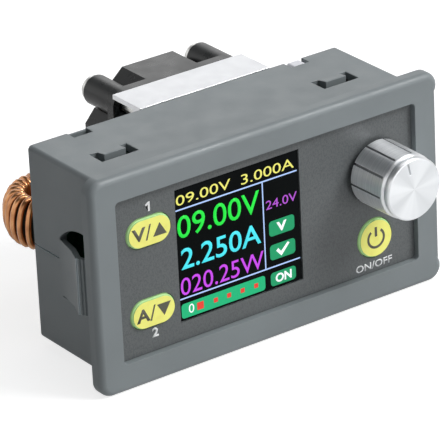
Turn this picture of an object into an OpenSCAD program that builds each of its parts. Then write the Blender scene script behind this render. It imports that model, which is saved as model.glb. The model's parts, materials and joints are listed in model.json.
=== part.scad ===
// Panel mounted buck converter module: display housing, control board, power board, choke, heat sink and fan.
// Millimetres. Origin: centre of the panel cut-out, on the back face of the flange.
// X to the right, Y into the panel, Z up.

/* [Case] */
// Width of the front flange
bezel_w = 79; // [76:1:90]
// Height of the front flange
bezel_h = 43; // [42:1:52]
// Thickness of the front flange
bezel_t = 3; // [2.6:0.1:4]
// Corner radius of the flange, seen from the front
bezel_corner = 2.8; // [2:0.2:5]
// Rounding of the flange's front edge
bezel_round = 1.3; // [0.5:0.1:1.6]
// Width of the body, which is the width of the panel cut-out
body_w = 71; // [70:0.5:74]
// Height of the body, which is the height of the panel cut-out
body_h = 39; // [38:0.5:41]
// Depth of the body behind the flange
body_d = 23.1; // [22:0.1:30]
// Wall thickness of the body
wall = 1.6; // [1.2:0.1:2]
// Corner radius of the body
body_corner = 0.9; // [0.5:0.1:2]
// Width of the recess in the flange
recess_w = 68; // [64:0.5:72]
// Height of the recess in the flange
recess_h = 32.3; // [31:0.1:35]
// Depth of the recess
recess_d = 1.5; // [1:0.1:1.7]

/* [Side snap wings] */
// Height of each wing
wing_h = 11.4; // [8:0.1:14]
// Height of the wing's centre above the body's centre
wing_z = -2; // [-4:0.05:4]
// How far a wing stands out from the body
wing_out = 2.4; // [1.6:0.1:3]
// Distance of the wing's root behind the flange
wing_root = 14.4; // [13:0.1:17]
// Distance of the wing's first bend behind the flange
wing_bend = 9.2; // [8:0.1:11]
// How far the wing stands out at its first bend
bend_out = 1; // [0.5:0.1:1.5]
// Distance of the wing's crest behind the flange
wing_crest = 5.6; // [5:0.1:7]
// Thickness of the wing
wing_t = 1.2; // [0.8:0.1:1.5]
// Number of gripping steps
teeth = 6; // [3:1:7]
// How far each step goes in
tooth_drop = 0.35; // [0.2:0.05:0.4]
// Height of the window above the wing
window_rise = 3.45; // [2:0.05:5]

/* [Snap tongues] */
// Distance of the tongues from the middle of the case
tongue_x = 25.2; // [22:0.1:28]
// Width of each tongue
tongue_w = 4.8; // [3:0.1:6]
// Length of each tongue
tongue_l = 2.3; // [1.5:0.1:3]
// Width of the window round a tongue
tongue_window_w = 8; // [7:0.1:10]
// Length of the window round a tongue
tongue_window_l = 4; // [3.5:0.1:5]
// Distance of the window's front edge behind the flange
tongue_y = 8.1; // [7:0.1:12]
// Distance of the notches in the body's rear edge from the middle
notch_x = 24.85; // [22:0.05:28]
// Width of those notches
notch_w = 4.1; // [3:0.1:5]
// Length of those notches
notch_l = 2.5; // [1.5:0.1:2.6]
// Thickness of the lip behind a notch
notch_lip = 0.5; // [0.4:0.05:1]

/* [Front panel] */
// Thickness of the overlay film
overlay_t = 0.3; // [0.2:0.05:0.5]
// Width of the display window
screen_w = 28; // [26:0.1:30]
// Height of the display window
screen_h = 26.6; // [25:0.1:28]
// Display centre, to the left of the middle
screen_x = -6.6; // [-8:0.1:-5]
// Display centre, above the middle
screen_z = 1.2; // [0:0.1:1.6]
// Distance of the two stadium keys from the middle
key_x = -26.7; // [-28:0.1:-26]
// Height of the upper key's centre
key_top_z = 8.4; // [6:0.1:9]
// Height of the lower key's centre
key_low_z = -7.75; // [-9:0.05:-6]
// Width of a stadium key
key_w = 9.6; // [8:0.1:9.8]
// Height of a stadium key
key_h = 5.7; // [4.5:0.1:6.2]
// Distance of the power key from the middle
power_x = 24.3; // [23:0.1:26]
// Height of the power key's centre
power_z = -8.7; // [-9.5:0.1:-7]
// Diameter of the power key
power_dia = 7.8; // [6:0.1:8.4]
// How far the keys stand above the overlay
key_proud = 0.5; // [0.4:0.05:0.8]
// Travel of each key
key_travel = 0.3; // [0.2:0.05:0.35]
// Gap between a key and its hole
key_gap = 0.2; // [0.15:0.05:0.3]

/* [Knob and encoder] */
// Distance of the knob's axis from the middle
knob_x = 25; // [24:0.1:26]
// Height of the knob's axis
knob_z = 5; // [4.4:0.1:7]
// Diameter of the knob
knob_dia = 13; // [11:0.1:13.6]
// Length of the knob
knob_l = 11; // [10:0.1:14]
// Gap between the knob and the overlay
knob_gap = 0.8; // [0.7:0.1:1.2]
// Number of grip slits round the knob
knob_slits = 10; // [6:1:16]
// Width of a grip slit
slit_w = 0.4; // [0.3:0.05:0.6]
// Diameter of the encoder's shaft
shaft_dia = 6; // [5:0.1:6.2]
// Diameter of the encoder's threaded bush
bush_dia = 7; // [6.8:0.1:7.6]
// Side of the encoder's square body
encoder_w = 12; // [11:0.1:12.4]
// Push travel of the knob
push_travel = 0.5; // [0.3:0.05:0.6]

/* [Boards] */
// Thickness of both circuit boards
board_t = 1.6; // [1.2:0.1:1.6]
// Distance of the display board behind the flange
display_board_y = 6.8; // [6.6:0.1:8]
// Distance of the power board behind the flange
power_board_y = 18.5; // [17.5:0.1:19]
// Gap between a board and the walls round it
board_gap = 0.3; // [0.2:0.05:0.6]
// Distance of the board screws from each side wall of the body
post_inset_x = 4.9; // [4.8:0.1:6]
// Distance of the board screws from the top and bottom of the body
post_inset_z = 4.6; // [4.5:0.1:5]
// Diameter of the screw posts
post_dia = 4; // [3.8:0.1:4.2]
// Diameter of the small screws
screw_dia = 2; // [1.6:0.1:2.2]

/* [Heat sink and fan] */
// Side of the square fan and heat sink
fan_w = 30; // [28:0.5:30]
// Distance of the fan's axis to the right of the middle
fan_x = 4.7; // [4:0.1:5]
// Thickness of the fan
fan_t = 10; // [9:0.5:15]
// Distance of the fan's screws from its edges
fan_inset = 3; // [2.9:0.1:3.5]
// Thickness of the frame round the fan's duct, where it is thinnest
duct_wall = 1; // [0.8:0.1:1.5]
// Number of fan blades
blades = 7; // [5:1:11]
// Diameter of the fan's hub
hub_dia = 14; // [12:0.5:16]
// Tilt of a blade
blade_pitch = 38; // [30:1:45]
// Thickness of the heat sink's base
sink_base = 2.5; // [1.5:0.1:3]
// Height of the fins behind the base
fin_l = 6.6; // [5:0.1:12]
// Thickness of a fin
fin_t = 1; // [0.8:0.1:1.2]
// Number of fins
fins = 7; // [7:2:7]
// Gap between the body's rear edge and the heat sink
sink_gap = 0.3; // [0.2:0.1:1]

/* [Choke] */
// Outer diameter over the winding
choke_dia = 20; // [18.6:0.1:21]
// Height over the winding
choke_h = 10.4; // [9:0.1:11]
// Thickness of the copper wire
wire_dia = 1.25; // [0.9:0.05:1.3]
// Number of turns
turns = 26; // [18:1:26]
// Distance of the choke's centre to the left of the middle
choke_x = -23.5; // [-24.5:0.1:-23]
// Height of the choke's centre
choke_z = -0.85; // [-2:0.05:1]
// Gap between the power board and the winding
choke_gap = 4.2; // [3.8:0.1:6]

/* [Power parts] */
// Number of terminals
poles = 4; // [3:1:4]
// Distance between the terminals
pole_pitch = 3.81; // [3.5:0.01:4.2]
// Height of the terminal block's housing behind the board
terminal_d = 9; // [8.6:0.1:10]
// Thickness of the terminal block's housing
terminal_h = 7.6; // [6.4:0.1:8]
// Diameter of the capacitors
cap_dia = 8; // [6:0.1:8.4]
// Height of the capacitors
cap_l = 12; // [8:0.5:16]
// Distance of the capacitors from the middle
cap_x = 27.3; // [26.5:0.1:28]
// Length of the fuse
fuse_l = 20; // [15:0.5:20]
// Diameter of the fuse
fuse_dia = 5; // [4:0.1:5.2]

/* [Hidden] */
$fn = 64;

eps = 0.01;
recess_floor = recess_d - bezel_t;
overlay_face = recess_floor - overlay_t;
recess_x = -0.2;
recess_z = 0.3;
inner_w = body_w - 2 * wall;
inner_h = body_h - 2 * wall;

// --- flat outlines, drawn in the X-Z plane and raised along +Y ---------------------------------------
module raise(y0, y1) {
    translate([0, y1, 0])
        rotate([90, 0, 0])
            linear_extrude(y1 - y0) children();
}

module rounded(w, h, r) {
    square([w - 2 * r, h], center = true);
    square([w, h - 2 * r], center = true);
    for (sx = [-1, 1], sz = [-1, 1])
        translate([sx * (w / 2 - r), sz * (h / 2 - r)]) circle(r);
}

module stadium(w, h) {
    square([w - h, h], center = true);
    for (s = [-1, 1]) translate([s * (w - h) / 2, 0]) circle(h / 2);
}

module rod(x, z, y0, y1, r) {
    translate([x, y1, z]) rotate([90, 0, 0]) cylinder(r = r, h = y1 - y0);
}

module block(x0, x1, y0, y1, z0, z1) {
    translate([x0, y0, z0]) cube([x1 - x0, y1 - y0, z1 - z0]);
}

// A plate in the X-Z plane whose front edge is rounded by e all the way round
module soft_plate(w, h, y0, y1, r, e) {
    raise(y0 + e, y1) rounded(w, h, r);
    raise(y0, y1) rounded(w - 2 * e, h - 2 * e, r - e);
    for (s = [-1, 1]) {
        translate([s * (w / 2 - e), y0 + e, 0]) cylinder(r = e, h = h - 2 * r, center = true);
        translate([0, y0 + e, s * (h / 2 - e)]) rotate([0, 90, 0])
            cylinder(r = e, h = w - 2 * r, center = true);
    }
    for (sx = [-1, 1], sz = [-1, 1])
        translate([sx * (w / 2 - r), y0 + e, sz * (h / 2 - r)]) rotate([90, 0, 0])
            rotate_extrude() translate([r - e, 0]) intersection() {
                circle(e);
                translate([e - r, -e]) square([r, 2 * e]);
            }
}

// --- case --------------------------------------------------------------------------------------------
post_x = body_w / 2 - post_inset_x;
post_z = body_h / 2 - post_inset_z;
post_step = 0.6;

module at_posts() {
    for (sx = [-1, 1], sz = [-1, 1]) translate([sx * post_x, 0, sz * post_z]) children();
}

module screen_place() { translate([screen_x, screen_z]) children(); }

module key_outlines(grow) {
    translate([key_x, key_top_z]) stadium(key_w + 2 * grow, key_h + 2 * grow);
    translate([key_x, key_low_z]) stadium(key_w + 2 * grow, key_h + 2 * grow);
    translate([power_x, power_z]) circle(power_dia / 2 + grow);
}

bush_gap = 0.2;
module front_openings() {
    key_outlines(key_gap);
    screen_place() square([screen_w, screen_h], center = true);
    translate([knob_x, knob_z]) circle(bush_dia / 2 + bush_gap);
}

wing_foot = wing_root + 0.4;
wing_tip = 1.8;
tip_t = 0.65;
tooth_l = (wing_crest - wing_tip) / teeth;
function tooth_x(i) = body_w / 2 + wing_out - i * tooth_drop;
function wing_teeth(i = 0) = i >= teeth ? [] : concat(
    [[tooth_x(i), wing_crest - i * tooth_l], [tooth_x(i + 1), wing_crest - i * tooth_l]], wing_teeth(i + 1));

// A tongue moulded at its rear end: it leans out, bends once more and comes back in by steps towards
// the flange, so that one of the steps grips a panel of any common thickness
module wing() {
    inner = body_w / 2 - wing_t;
    translate([0, 0, wing_z - wing_h / 2]) linear_extrude(wing_h)
        polygon(concat([[inner, wing_foot], [body_w / 2, wing_foot], [body_w / 2, wing_root],
            [body_w / 2 + bend_out, wing_bend]], wing_teeth(),
            [[tooth_x(teeth), wing_tip], [tooth_x(teeth) - tip_t, wing_tip], [inner + wing_out, wing_crest],
             [inner + bend_out, wing_bend], [inner, wing_root]]));
}

wing_gap = 0.2;
window_front = wing_tip - 0.3;
arch_y = wing_root * 0.48;
arch_run = wing_root - arch_y;
arch_r = (arch_run * arch_run + window_rise * window_rise) / (2 * window_rise);
// The wing's window: straight round the wing, arched above it
module wing_window() {
    low = wing_z - wing_h / 2 - wing_gap;
    arch_top = wing_z + wing_h / 2 + wing_gap + window_rise;
    back = wing_root - wing_gap;
    translate([inner_w / 2 - 1, 0, 0]) rotate([90, 0, 90]) linear_extrude(wall + 2) {
        translate([window_front, low]) square([back - window_front, arch_top - window_rise - low]);
        translate([window_front, low]) square([arch_y - window_front, arch_top - low]);
        intersection() {
            translate([arch_y, arch_top - arch_r]) circle(arch_r);
            translate([arch_y - eps, low]) square([back - arch_y + eps, arch_top - low]);
        }
    }
}

tongue_rise = 0.35;
seam_d = 0.25;
lip_drop = 0.25;
module notch(lip) translate([notch_x, 0, body_h / 2]) {
    block(-notch_w / 2, notch_w / 2, body_d - notch_l, body_d - lip, -wall - 0.5, 1);
    block(-notch_w / 2, notch_w / 2, body_d - notch_l, body_d + 1, -lip_drop, 1);
}
module tongue_cut() {
    block(-tongue_window_w / 2, tongue_window_w / 2, tongue_y, tongue_y + tongue_window_l, -wall - 1, 1);
}
module tongue() {
    y1 = tongue_y + tongue_window_l;
    y0 = y1 - tongue_l;
    rotate([90, 0, 90]) linear_extrude(tongue_w, center = true)
        polygon([[y1 + eps, -wall], [y1 + eps, 0], [y0 + 0.4, tongue_rise], [y0, tongue_rise], [y0, -wall]]);
}

module case() color("#858a8d") {
    difference() {
        union() {
            soft_plate(bezel_w, bezel_h, -bezel_t, 0, bezel_corner, bezel_round);
            raise(-eps, body_d) rounded(body_w, body_h, body_corner);
        }
        raise(-bezel_t - 1, recess_floor) translate([recess_x, recess_z]) rounded(recess_w, recess_h, 0.8);
        difference() {
            raise(0, body_d + 1) rounded(inner_w, inner_h, 0.5);
            at_posts() {
                rod(0, 0, -1, display_board_y, post_dia / 2 + post_step);
                rod(0, 0, -1, power_board_y, post_dia / 2);
            }
        }
        raise(recess_floor - 1, 1) front_openings();
            at_posts() rod(0, 0, power_board_y - screw_bite - 2, power_board_y + 1, screw_dia / 2);
        for (m = [0, 1]) mirror([m, 0, 0]) {
            wing_window();
            block(body_w / 2 - seam_d, body_w / 2 + 1, wing_foot + eps, body_d + 1, -0.35, -0.05);
            for (n = [0, 1]) mirror([0, 0, n]) {
                translate([tongue_x, 0, body_h / 2]) tongue_cut();
                // The notch over the fan's socket is open to the rear, and a thin lip closes the others
                notch(m == 0 && n == 0 ? -1 : notch_lip);
            }
        }
    }
    for (m = [0, 1]) mirror([m, 0, 0]) {
        wing();
        for (n = [0, 1]) mirror([0, 0, n]) translate([tongue_x, 0, body_h / 2]) tongue();
    }
}

// --- front panel -------------------------------------------------------------------------------------
overlay_gap = 0.1;
module front_overlay() color("#585a5b")
    raise(overlay_face, recess_floor) difference() {
        translate([recess_x, recess_z])
            rounded(recess_w - 2 * overlay_gap, recess_h - 2 * overlay_gap, 0.7);
        front_openings();
    }

glass_lip = 0.4;
glass_step = 0.7;
glass_sink = 0.25;
glass_y = overlay_face + glass_sink;
frame_y = 0.1 + glass_step;
frame_wall = 2;
frame_drop = 1.2;
frame_h = screen_h + 2 * glass_lip + 2 * frame_drop;
module display_glass() color("#101418") {
    raise(glass_y, 0.1) screen_place() square([screen_w - 0.2, screen_h - 0.2], center = true);
    raise(0.1, 0.1 + glass_step) screen_place()
        square([screen_w + 2 * glass_lip, screen_h + 2 * glass_lip], center = true);
}

module display_frame() color("#d8dadb")
    translate([screen_x, 0, screen_z - frame_drop])
        difference() {
            raise(frame_y, display_board_y) square([screen_w + 2 * glass_lip, frame_h], center = true);
            raise(frame_y + 1.4, display_board_y + 1)
                square([screen_w + 2 * glass_lip - 2 * frame_wall, frame_h - 2 * frame_wall], center = true);
        }

// --- keys, their switches and the display board ------------------------------------------------------
switch_w = 4.5;
switch_h = 3.4;
switch_face = display_board_y - switch_h;
stem_r = 1.2;
stem_out = 0.9;
key_skirt = 0.35;
key_skirt_t = 0.7;
skirt_front = 0.15;
key_back = switch_face - stem_out;

module key_cap(x, z, w, h) translate([x, 0, z]) {
    front = overlay_face - key_proud;
    raise(front + 0.25, skirt_front + key_skirt_t) stadium(w, h);
    raise(front, front + 0.3) stadium(w - 0.5, h - 0.5);
    raise(skirt_front, skirt_front + key_skirt_t)
        stadium(w + 2 * (key_gap + key_skirt), h + 2 * (key_gap + key_skirt));
    rod(0, 0, 0, key_back, stem_r);
}
module key_voltage() color("#e8dc62") key_cap(key_x, key_top_z, key_w, key_h);
module key_current() color("#e8dc62") key_cap(key_x, key_low_z, key_w, key_h);
module key_power() color("#e8dc62") key_cap(power_x, power_z, power_dia + eps, power_dia);

stem_gap = 0.06;
module switch_stem(x, z) {
    rod(x, z, key_back, switch_face + 1.6, stem_r);
    rod(x, z, switch_face + 0.7 + key_travel, switch_face + 1.6, stem_r + 0.5);
}
module stem_voltage() color("#2b2b2b") switch_stem(key_x, key_top_z);
module stem_current() color("#2b2b2b") switch_stem(key_x, key_low_z);
module stem_power() color("#2b2b2b") switch_stem(power_x, power_z);

module switch_body(x, z) difference() {
    raise(switch_face, display_board_y) translate([x, z]) rounded(switch_w, switch_w, 0.5);
    rod(x, z, switch_face - 1, display_board_y - 1, stem_r + stem_gap);
    rod(x, z, switch_face + 0.7, display_board_y - 1, stem_r + 0.6);
}
module switch_voltage() color("#3a3c3e") switch_body(key_x, key_top_z);
module switch_current() color("#3a3c3e") switch_body(key_x, key_low_z);
module switch_power() color("#3a3c3e") switch_body(power_x, power_z);

module display_board() color("#1f5a3a") difference() {
    raise(display_board_y, display_board_y + board_t)
        rounded(inner_w - 2 * board_gap, inner_h - 2 * board_gap, 0.6);
    at_posts() rod(0, 0, 0, power_board_y, post_dia / 2 + 0.2);
}

chip_w = 7;
chip_t = 1.2;
module controller_chip() color("#1a1a1c")
    raise(display_board_y + board_t, display_board_y + board_t + chip_t)
        translate([screen_x - chip_w, header_z + (header_h + chip_w) / 2 + 1.5]) rounded(chip_w, chip_w, 0.3);

// --- encoder and knob --------------------------------------------------------------------------------
encoder_front = 0.3;
encoder_back = display_board_y;
bush_out = 3.4;
run_gap = 0.05;
bush_end = overlay_face - bush_out;
rotor_r = 4.6;
rotor_y0 = encoder_front + 1.1;
rotor_y1 = rotor_y0 + 2;
flat = 0.75;

module round_with_flat(r, drop) difference() {
    circle(r);
    translate([-2 * r, r - drop]) square([4 * r, 2 * r]);
}

module encoder_body() color("#9a9da0") difference() {
    union() {
        raise(encoder_front, encoder_back) translate([knob_x, knob_z]) rounded(encoder_w, encoder_w, 0.4);
        rod(knob_x, knob_z, bush_end, encoder_front + eps, bush_dia / 2);
    }
    rod(knob_x, knob_z, bush_end - 1, rotor_y0, shaft_dia / 2 + run_gap);
    rod(knob_x, knob_z, rotor_y0 - eps, rotor_y1 + 0.1, rotor_r + 0.08);
    rod(knob_x, knob_z, rotor_y1, encoder_back - 0.8, shaft_dia / 2 + run_gap);
}

module encoder_rotor() color("#e4e4dc") raise(rotor_y0 + 0.05, rotor_y1) translate([knob_x, knob_z])
    difference() {
        circle(rotor_r);
        round_with_flat(shaft_dia / 2 + run_gap, flat);
    }

knob_back = overlay_face - knob_gap;
knob_front = knob_back - knob_l;
shaft_end = knob_front + 2.2;
core_end = bush_end + 0.6;
stalk_end = rotor_y0 - push_travel - 0.1;
module encoder_shaft() color("#c4c7c9") translate([knob_x, 0, knob_z]) {
    raise(shaft_end, core_end) round_with_flat(shaft_dia / 2, flat);
    raise(core_end - eps, stalk_end) circle(shaft_dia / 2);
    raise(stalk_end - eps, encoder_back - 0.8 - push_travel - 0.2) round_with_flat(shaft_dia / 2, flat);
}

knob_r = knob_dia / 2;
cap_step = 1.5;
knob_taper = 0.12;
slit_d = 0.55;
slit_turn = 12.3;
knob_turned = 13.5;
knob_break = 0.15;
rim_groove_d = 0.35;
rim_groove_l = 0.35;
rim_r = knob_r - rim_groove_d;
pointer_l = 2.3;
pointer_r = knob_r - 0.9;
pointer_d = 0.25;
module knob() color("#cfd2d4") translate([knob_x, 0, knob_z]) difference() {
    translate([0, knob_back, 0]) rotate([90, 0, 0]) rotate_extrude()
        polygon([[0, 0], [knob_r - knob_break, 0], [knob_r, knob_break],
            [knob_r - knob_taper, knob_l - cap_step - 0.5], [rim_r - knob_taper, knob_l - cap_step],
            [rim_r - 0.4, knob_l - cap_step], [rim_r - 0.4, knob_l - cap_step + rim_groove_l],
            [rim_r, knob_l - cap_step + rim_groove_l], [rim_r, knob_l - pointer_d],
            [rim_r - pointer_d, knob_l], [0, knob_l]]);
    rod(0, 0, bush_end - push_travel - 0.4, knob_back + 1, bush_dia / 2 + 0.3);
    raise(shaft_end - 0.2, knob_back + 1) round_with_flat(shaft_dia / 2 + 0.01, flat);
    for (i = [0:knob_slits - 1]) rotate([0, slit_turn + i * 360 / knob_slits, 0])
        block(-slit_w / 2, slit_w / 2, knob_front + cap_step + 0.9, knob_back + 1,
            knob_r - slit_d, knob_r + 1);
    rotate([0, -knob_turned, 0])
        block(-slit_w / 2, slit_w / 2, knob_front - 1, knob_front + pointer_d,
            pointer_r - pointer_l, pointer_r);
}

// --- power board and what joins it -------------------------------------------------------------------
// The fan and the heat sink lie flush with the top of the body
fan_z = (body_h - fan_w) / 2;
fan_pitch = fan_w - 2 * fan_inset;
part_gap = 0.4;
power_rear = power_board_y + board_t;
choke_r = choke_dia / 2;
choke_y = power_rear + choke_gap + choke_r;
lead_angle = 15;
lead_x = (choke_r - wire_dia / 2) * sin(lead_angle);
spacer_inset = 4;
spacer_x = fan_w / 2 - spacer_inset;
spacer_wall = 0.9;
spacer_r = screw_dia / 2 + spacer_wall;
sink_y = body_d + sink_gap;

module at_sink_screws() {
    for (s = [-1, 1]) translate([fan_x + s * spacer_x, 0, fan_z]) children();
}

module power_board() color("#1f5a3a") difference() {
    raise(power_board_y, power_rear) rounded(inner_w - 2 * board_gap, inner_h - 2 * board_gap, 0.6);
    at_posts() rod(0, 0, power_board_y - 1, power_rear + 1, screw_dia / 2 + 0.1);
    at_sink_screws() rod(0, 0, power_board_y - 1, power_rear + 1, screw_dia / 2 + 0.1);
    for (s = [-1, 1])
        rod(choke_x + s * lead_x, choke_z, power_board_y - 1, power_rear + 1, wire_dia / 2 + 0.15);
}

head_r = screw_dia * 0.95;
head_l = screw_dia * 0.6;
module pan_screw(y_seat, y_tip, head_side) {
    tip = min(y_seat, y_tip);
    rod(0, 0, tip, max(y_seat, y_tip), screw_dia / 2 - 0.05);
    difference() {
        rod(0, 0, min(y_seat, y_seat + head_side * head_l), max(y_seat, y_seat + head_side * head_l), head_r);
        for (a = [0, 90]) translate([0, y_seat + head_side * head_l, 0]) rotate([0, a, 0])
            cube([head_r * 1.2, 1, 0.45], center = true);
    }
}

screw_bite = 5;
module board_screws() color("#b9bcbe") at_posts() pan_screw(power_rear, power_board_y - screw_bite, 1);

// A plug and socket strip between the two boards, below the heads of the heat sink's screws
pin_pitch = 2.54;
header_pins = 8;
pin_w = 0.64;
header_w = header_pins * pin_pitch;
header_h = 2.5;
header_clear = 1.35;
header_z = fan_z - head_r - header_clear - header_h / 2;
plug_l = 6;
strip_l = 2.5;
module board_header() color("#222426") translate([screen_x, 0, header_z]) {
    raise(display_board_y + board_t, display_board_y + board_t + plug_l)
        square([header_w, header_h], center = true);
    raise(power_board_y - strip_l, power_board_y) square([header_w, header_h], center = true);
    for (i = [0:header_pins - 1]) translate([(i - (header_pins - 1) / 2) * pin_pitch, 0, 0])
        block(-pin_w / 2, pin_w / 2, display_board_y + board_t + plug_l - eps, power_board_y - strip_l + eps,
            -pin_w / 2, pin_w / 2);
}

// --- heat sink and fan -------------------------------------------------------------------------------
pad_t = 0.3;
fan_y = sink_y + sink_base + fin_l;
transistor_l = 12;
transistor_rise = 1;
transistor_w = spacer_x - spacer_r - 2 * part_gap;
module transistors() color("#1d1e20") for (s = [-1, 1]) raise(power_rear, sink_y - pad_t)
    translate([fan_x + s * (part_gap + transistor_w) / 2, fan_z + transistor_rise])
        rounded(transistor_w, transistor_l, 0.4);

module thermal_pad() color("#c9d3da") raise(sink_y - pad_t, sink_y)
    translate([fan_x, fan_z + transistor_rise])
        square([2 * (spacer_x - spacer_r - part_gap), transistor_l + 1], center = true);

module heat_sink() color("#f0f1f3") difference() {
    union() {
        raise(sink_y, sink_y + sink_base) translate([fan_x, fan_z]) square([fan_w, fan_w], center = true);
        for (i = [0:fins - 1])
            translate([fan_x, sink_y, fan_z + (i / (fins - 1) - 0.5) * (fan_w - fin_t)])
                block(-fan_w / 2, fan_w / 2, 0, sink_base + fin_l, -fin_t / 2, fin_t / 2);
    }
    at_sink_screws() rod(0, 0, sink_y - 1, sink_y + sink_base + 1, screw_dia / 2);
}

module sink_spacers() color("#c8a24a") at_sink_screws() difference() {
    rod(0, 0, power_rear, sink_y, spacer_r);
    rod(0, 0, power_rear - 1, sink_y + 1, screw_dia / 2 + 0.1);
}

module sink_screws() color("#b9bcbe") at_sink_screws() pan_screw(power_board_y, sink_y + sink_base - 0.2, -1);

flange_t = 2;
duct_r = fan_w / 2 - duct_wall;
tube_r = fan_inset;
side_block = 5.9;
block_slope = 2.6;
block_rise = 2.3;
fan_rear = fan_y + fan_t;
bearing_r = 2.2;
motor_t = 1.4;
fan_hole_r = 1.6;
module at_fan_holes() {
    for (sx = [-1, 1], sz = [-1, 1])
        translate([fan_x + sx * fan_pitch / 2, 0, fan_z + sz * fan_pitch / 2]) children();
}

module fan_frame() color("#2c2e2f") {
    difference() {
        union() {
            raise(fan_y, fan_y + flange_t) translate([fan_x, fan_z]) rounded(fan_w, fan_w, tube_r);
            at_fan_holes() rod(0, 0, fan_y, fan_rear, tube_r);
            rod(fan_x, fan_z, fan_y, fan_rear, duct_r + duct_wall - 0.1);
            for (a = [0:90:270]) translate([fan_x, 0, fan_z]) rotate([0, a, 0]) raise(fan_y, fan_rear)
                polygon([for (c = [[1, 0, 1], [1, 1, 1], [1, 1, 0], [-1, 1, 0], [-1, 1, 1], [-1, 0, 1]])
                    [c[0] * (side_block + c[1] * block_slope), c[2] * (fan_w / 2 - c[1] * block_rise)]]);
        }
        rod(fan_x, fan_z, fan_y - 1, fan_rear + 1, duct_r);
        at_fan_holes() rod(0, 0, fan_y - 1, fan_rear + 1, fan_hole_r);
    }
    difference() {
        union() {
            rod(fan_x, fan_z, fan_y, fan_y + motor_t, hub_dia / 2);
            for (a = [45:90:315]) translate([fan_x, 0, fan_z]) rotate([0, a, 0])
                block(-0.8, 0.8, fan_y, fan_y + motor_t, hub_dia / 2 - 1, duct_r + 0.3);
        }
        rod(fan_x, fan_z, fan_y - 1, fan_y + motor_t + 1, bearing_r);
    }
}

bearing_l = 4;
fan_pin_r = 1;
module fan_bearing() color("#c8a24a") difference() {
    rod(fan_x, fan_z, fan_y + 0.2, fan_y + bearing_l, bearing_r);
    rod(fan_x, fan_z, fan_y + 0.7, fan_y + bearing_l + 1, fan_pin_r + run_gap);
}

blade_gap = 0.6;
blade_t = 0.9;
camber_r = 13;
// A blade is a cut from a tube that lies along the hub's radius, so its section is an even arc
module blade() translate([0, (hub_y + fan_rear) / 2 - 0.2, 0]) rotate([0, 0, blade_pitch])
    translate([camber_r - blade_t, 0, 0]) intersection() {
        difference() {
            cylinder(r = camber_r, h = duct_r);
            translate([0, 0, -1]) cylinder(r = camber_r - blade_t, h = duct_r + 2);
        }
        translate([-camber_r - 1, -camber_r, 0]) cube([camber_r - 3, 2 * camber_r, duct_r]);
    }

hub_y = fan_y + motor_t + 0.4;
hub_rear = fan_rear - 0.4;
hub_r = hub_dia / 2 - 0.2;
hub_wall = 1;
module fan_rotor() color("#26282a") translate([fan_x, 0, fan_z]) {
    difference() {
        rod(0, 0, hub_y, hub_rear, hub_r);
        rod(0, 0, hub_y - 1, hub_rear - 1.2, hub_r - hub_wall);
    }
    rod(0, 0, fan_y + 0.9, fan_rear - 1, fan_pin_r);
    intersection() {
        difference() {
            rod(0, 0, hub_y + 0.2, fan_rear - 0.6, duct_r - blade_gap);
            rod(0, 0, 0, fan_rear + 1, hub_r - 0.4);
        }
        for (i = [0:blades - 1]) rotate([0, i * 360 / blades, 0]) blade();
    }
}

fan_screw_r = 1.25;
fan_bite = 4.2;
fan_head_r = 2.5;
fan_head_l = 1.4;
module fan_screws() color("#c9cbcd") at_fan_holes() {
    rod(0, 0, fan_y - fan_bite, fan_rear, fan_screw_r);
    difference() {
        rod(0, 0, fan_rear, fan_rear + fan_head_l, fan_head_r);
        for (a = [0, 90]) translate([0, fan_rear + fan_head_l, 0]) rotate([0, a, 0])
            cube([fan_head_r * 1.2, fan_head_l, 0.6], center = true);
    }
}

// The fan's socket stands on the power board, and its top fills the notch in the case above it
socket_w = notch_w - 0.3;
socket_l = 4.4;
socket_h = 3.6;
socket_low = inner_h / 2 - socket_h;
socket_top = body_h / 2 - 0.1;
socket_pitch = 1.25;
socket_floor = power_rear + 1.2;
socket_wall = 0.6;
socket_mid = (socket_low + inner_h / 2 - board_gap) / 2;
module fan_socket() color("#f2f2ee") difference() {
    union() {
        translate([notch_x, 0, 0])
            block(-socket_w / 2, socket_w / 2, power_rear, power_rear + socket_l,
                socket_low, inner_h / 2 - board_gap);
        raise(body_d - notch_l + 0.15, body_d - 0.2) translate([notch_x, socket_top - 1.5]) hull() {
            square([socket_w, 1.6], center = true);
            square([socket_w - 1.4, 3], center = true);
        }
    }
    translate([notch_x, 0, 0]) block(socket_wall - socket_w / 2, socket_w / 2 - socket_wall, socket_floor,
        power_rear + socket_l + 1, socket_low + socket_wall, inner_h / 2 - board_gap - socket_wall);
}
module socket_pins() color("#d6c178") for (s = [-0.5, 0.5])
    translate([notch_x + s * socket_pitch, 0, socket_mid])
        block(-0.2, 0.2, socket_floor, power_rear + socket_l - 0.8, -0.2, 0.2);

// --- choke -------------------------------------------------------------------------------------------
wire_r = wire_dia / 2;
turn_out = choke_r - wire_r;
turn_half = choke_h / 2 - wire_r;
wound_angle = 360 - 2 * lead_angle;
turn_gap = 0.03;
turn_in = (wire_dia + turn_gap) * turns / (wound_angle * PI / 180);
belly = 2.2;
bore_bend = 1.1;
belly_r = turn_out - belly;
core_gap = 0.15;
core_bevel = 0.6;
core_in = turn_in + wire_r + core_gap;
core_belly = belly - wire_r - core_gap;
core_half = turn_half - wire_r - core_gap;
core_rim = [for (t = [20, 55]) [belly_r + core_belly * cos(t), core_half * sin(t)]];

module toroid_core() color("#3b4038") translate([choke_x, choke_y, choke_z])
    rotate_extrude()
        polygon(concat([[core_in, core_bevel - core_half], [core_in + core_bevel, -core_half],
            [belly_r, -core_half]], [for (i = [1, 0]) [core_rim[i][0], -core_rim[i][1]]], core_rim,
            [[belly_r, core_half], [core_in + core_bevel, core_half], [core_in, core_half - core_bevel]]));

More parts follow.
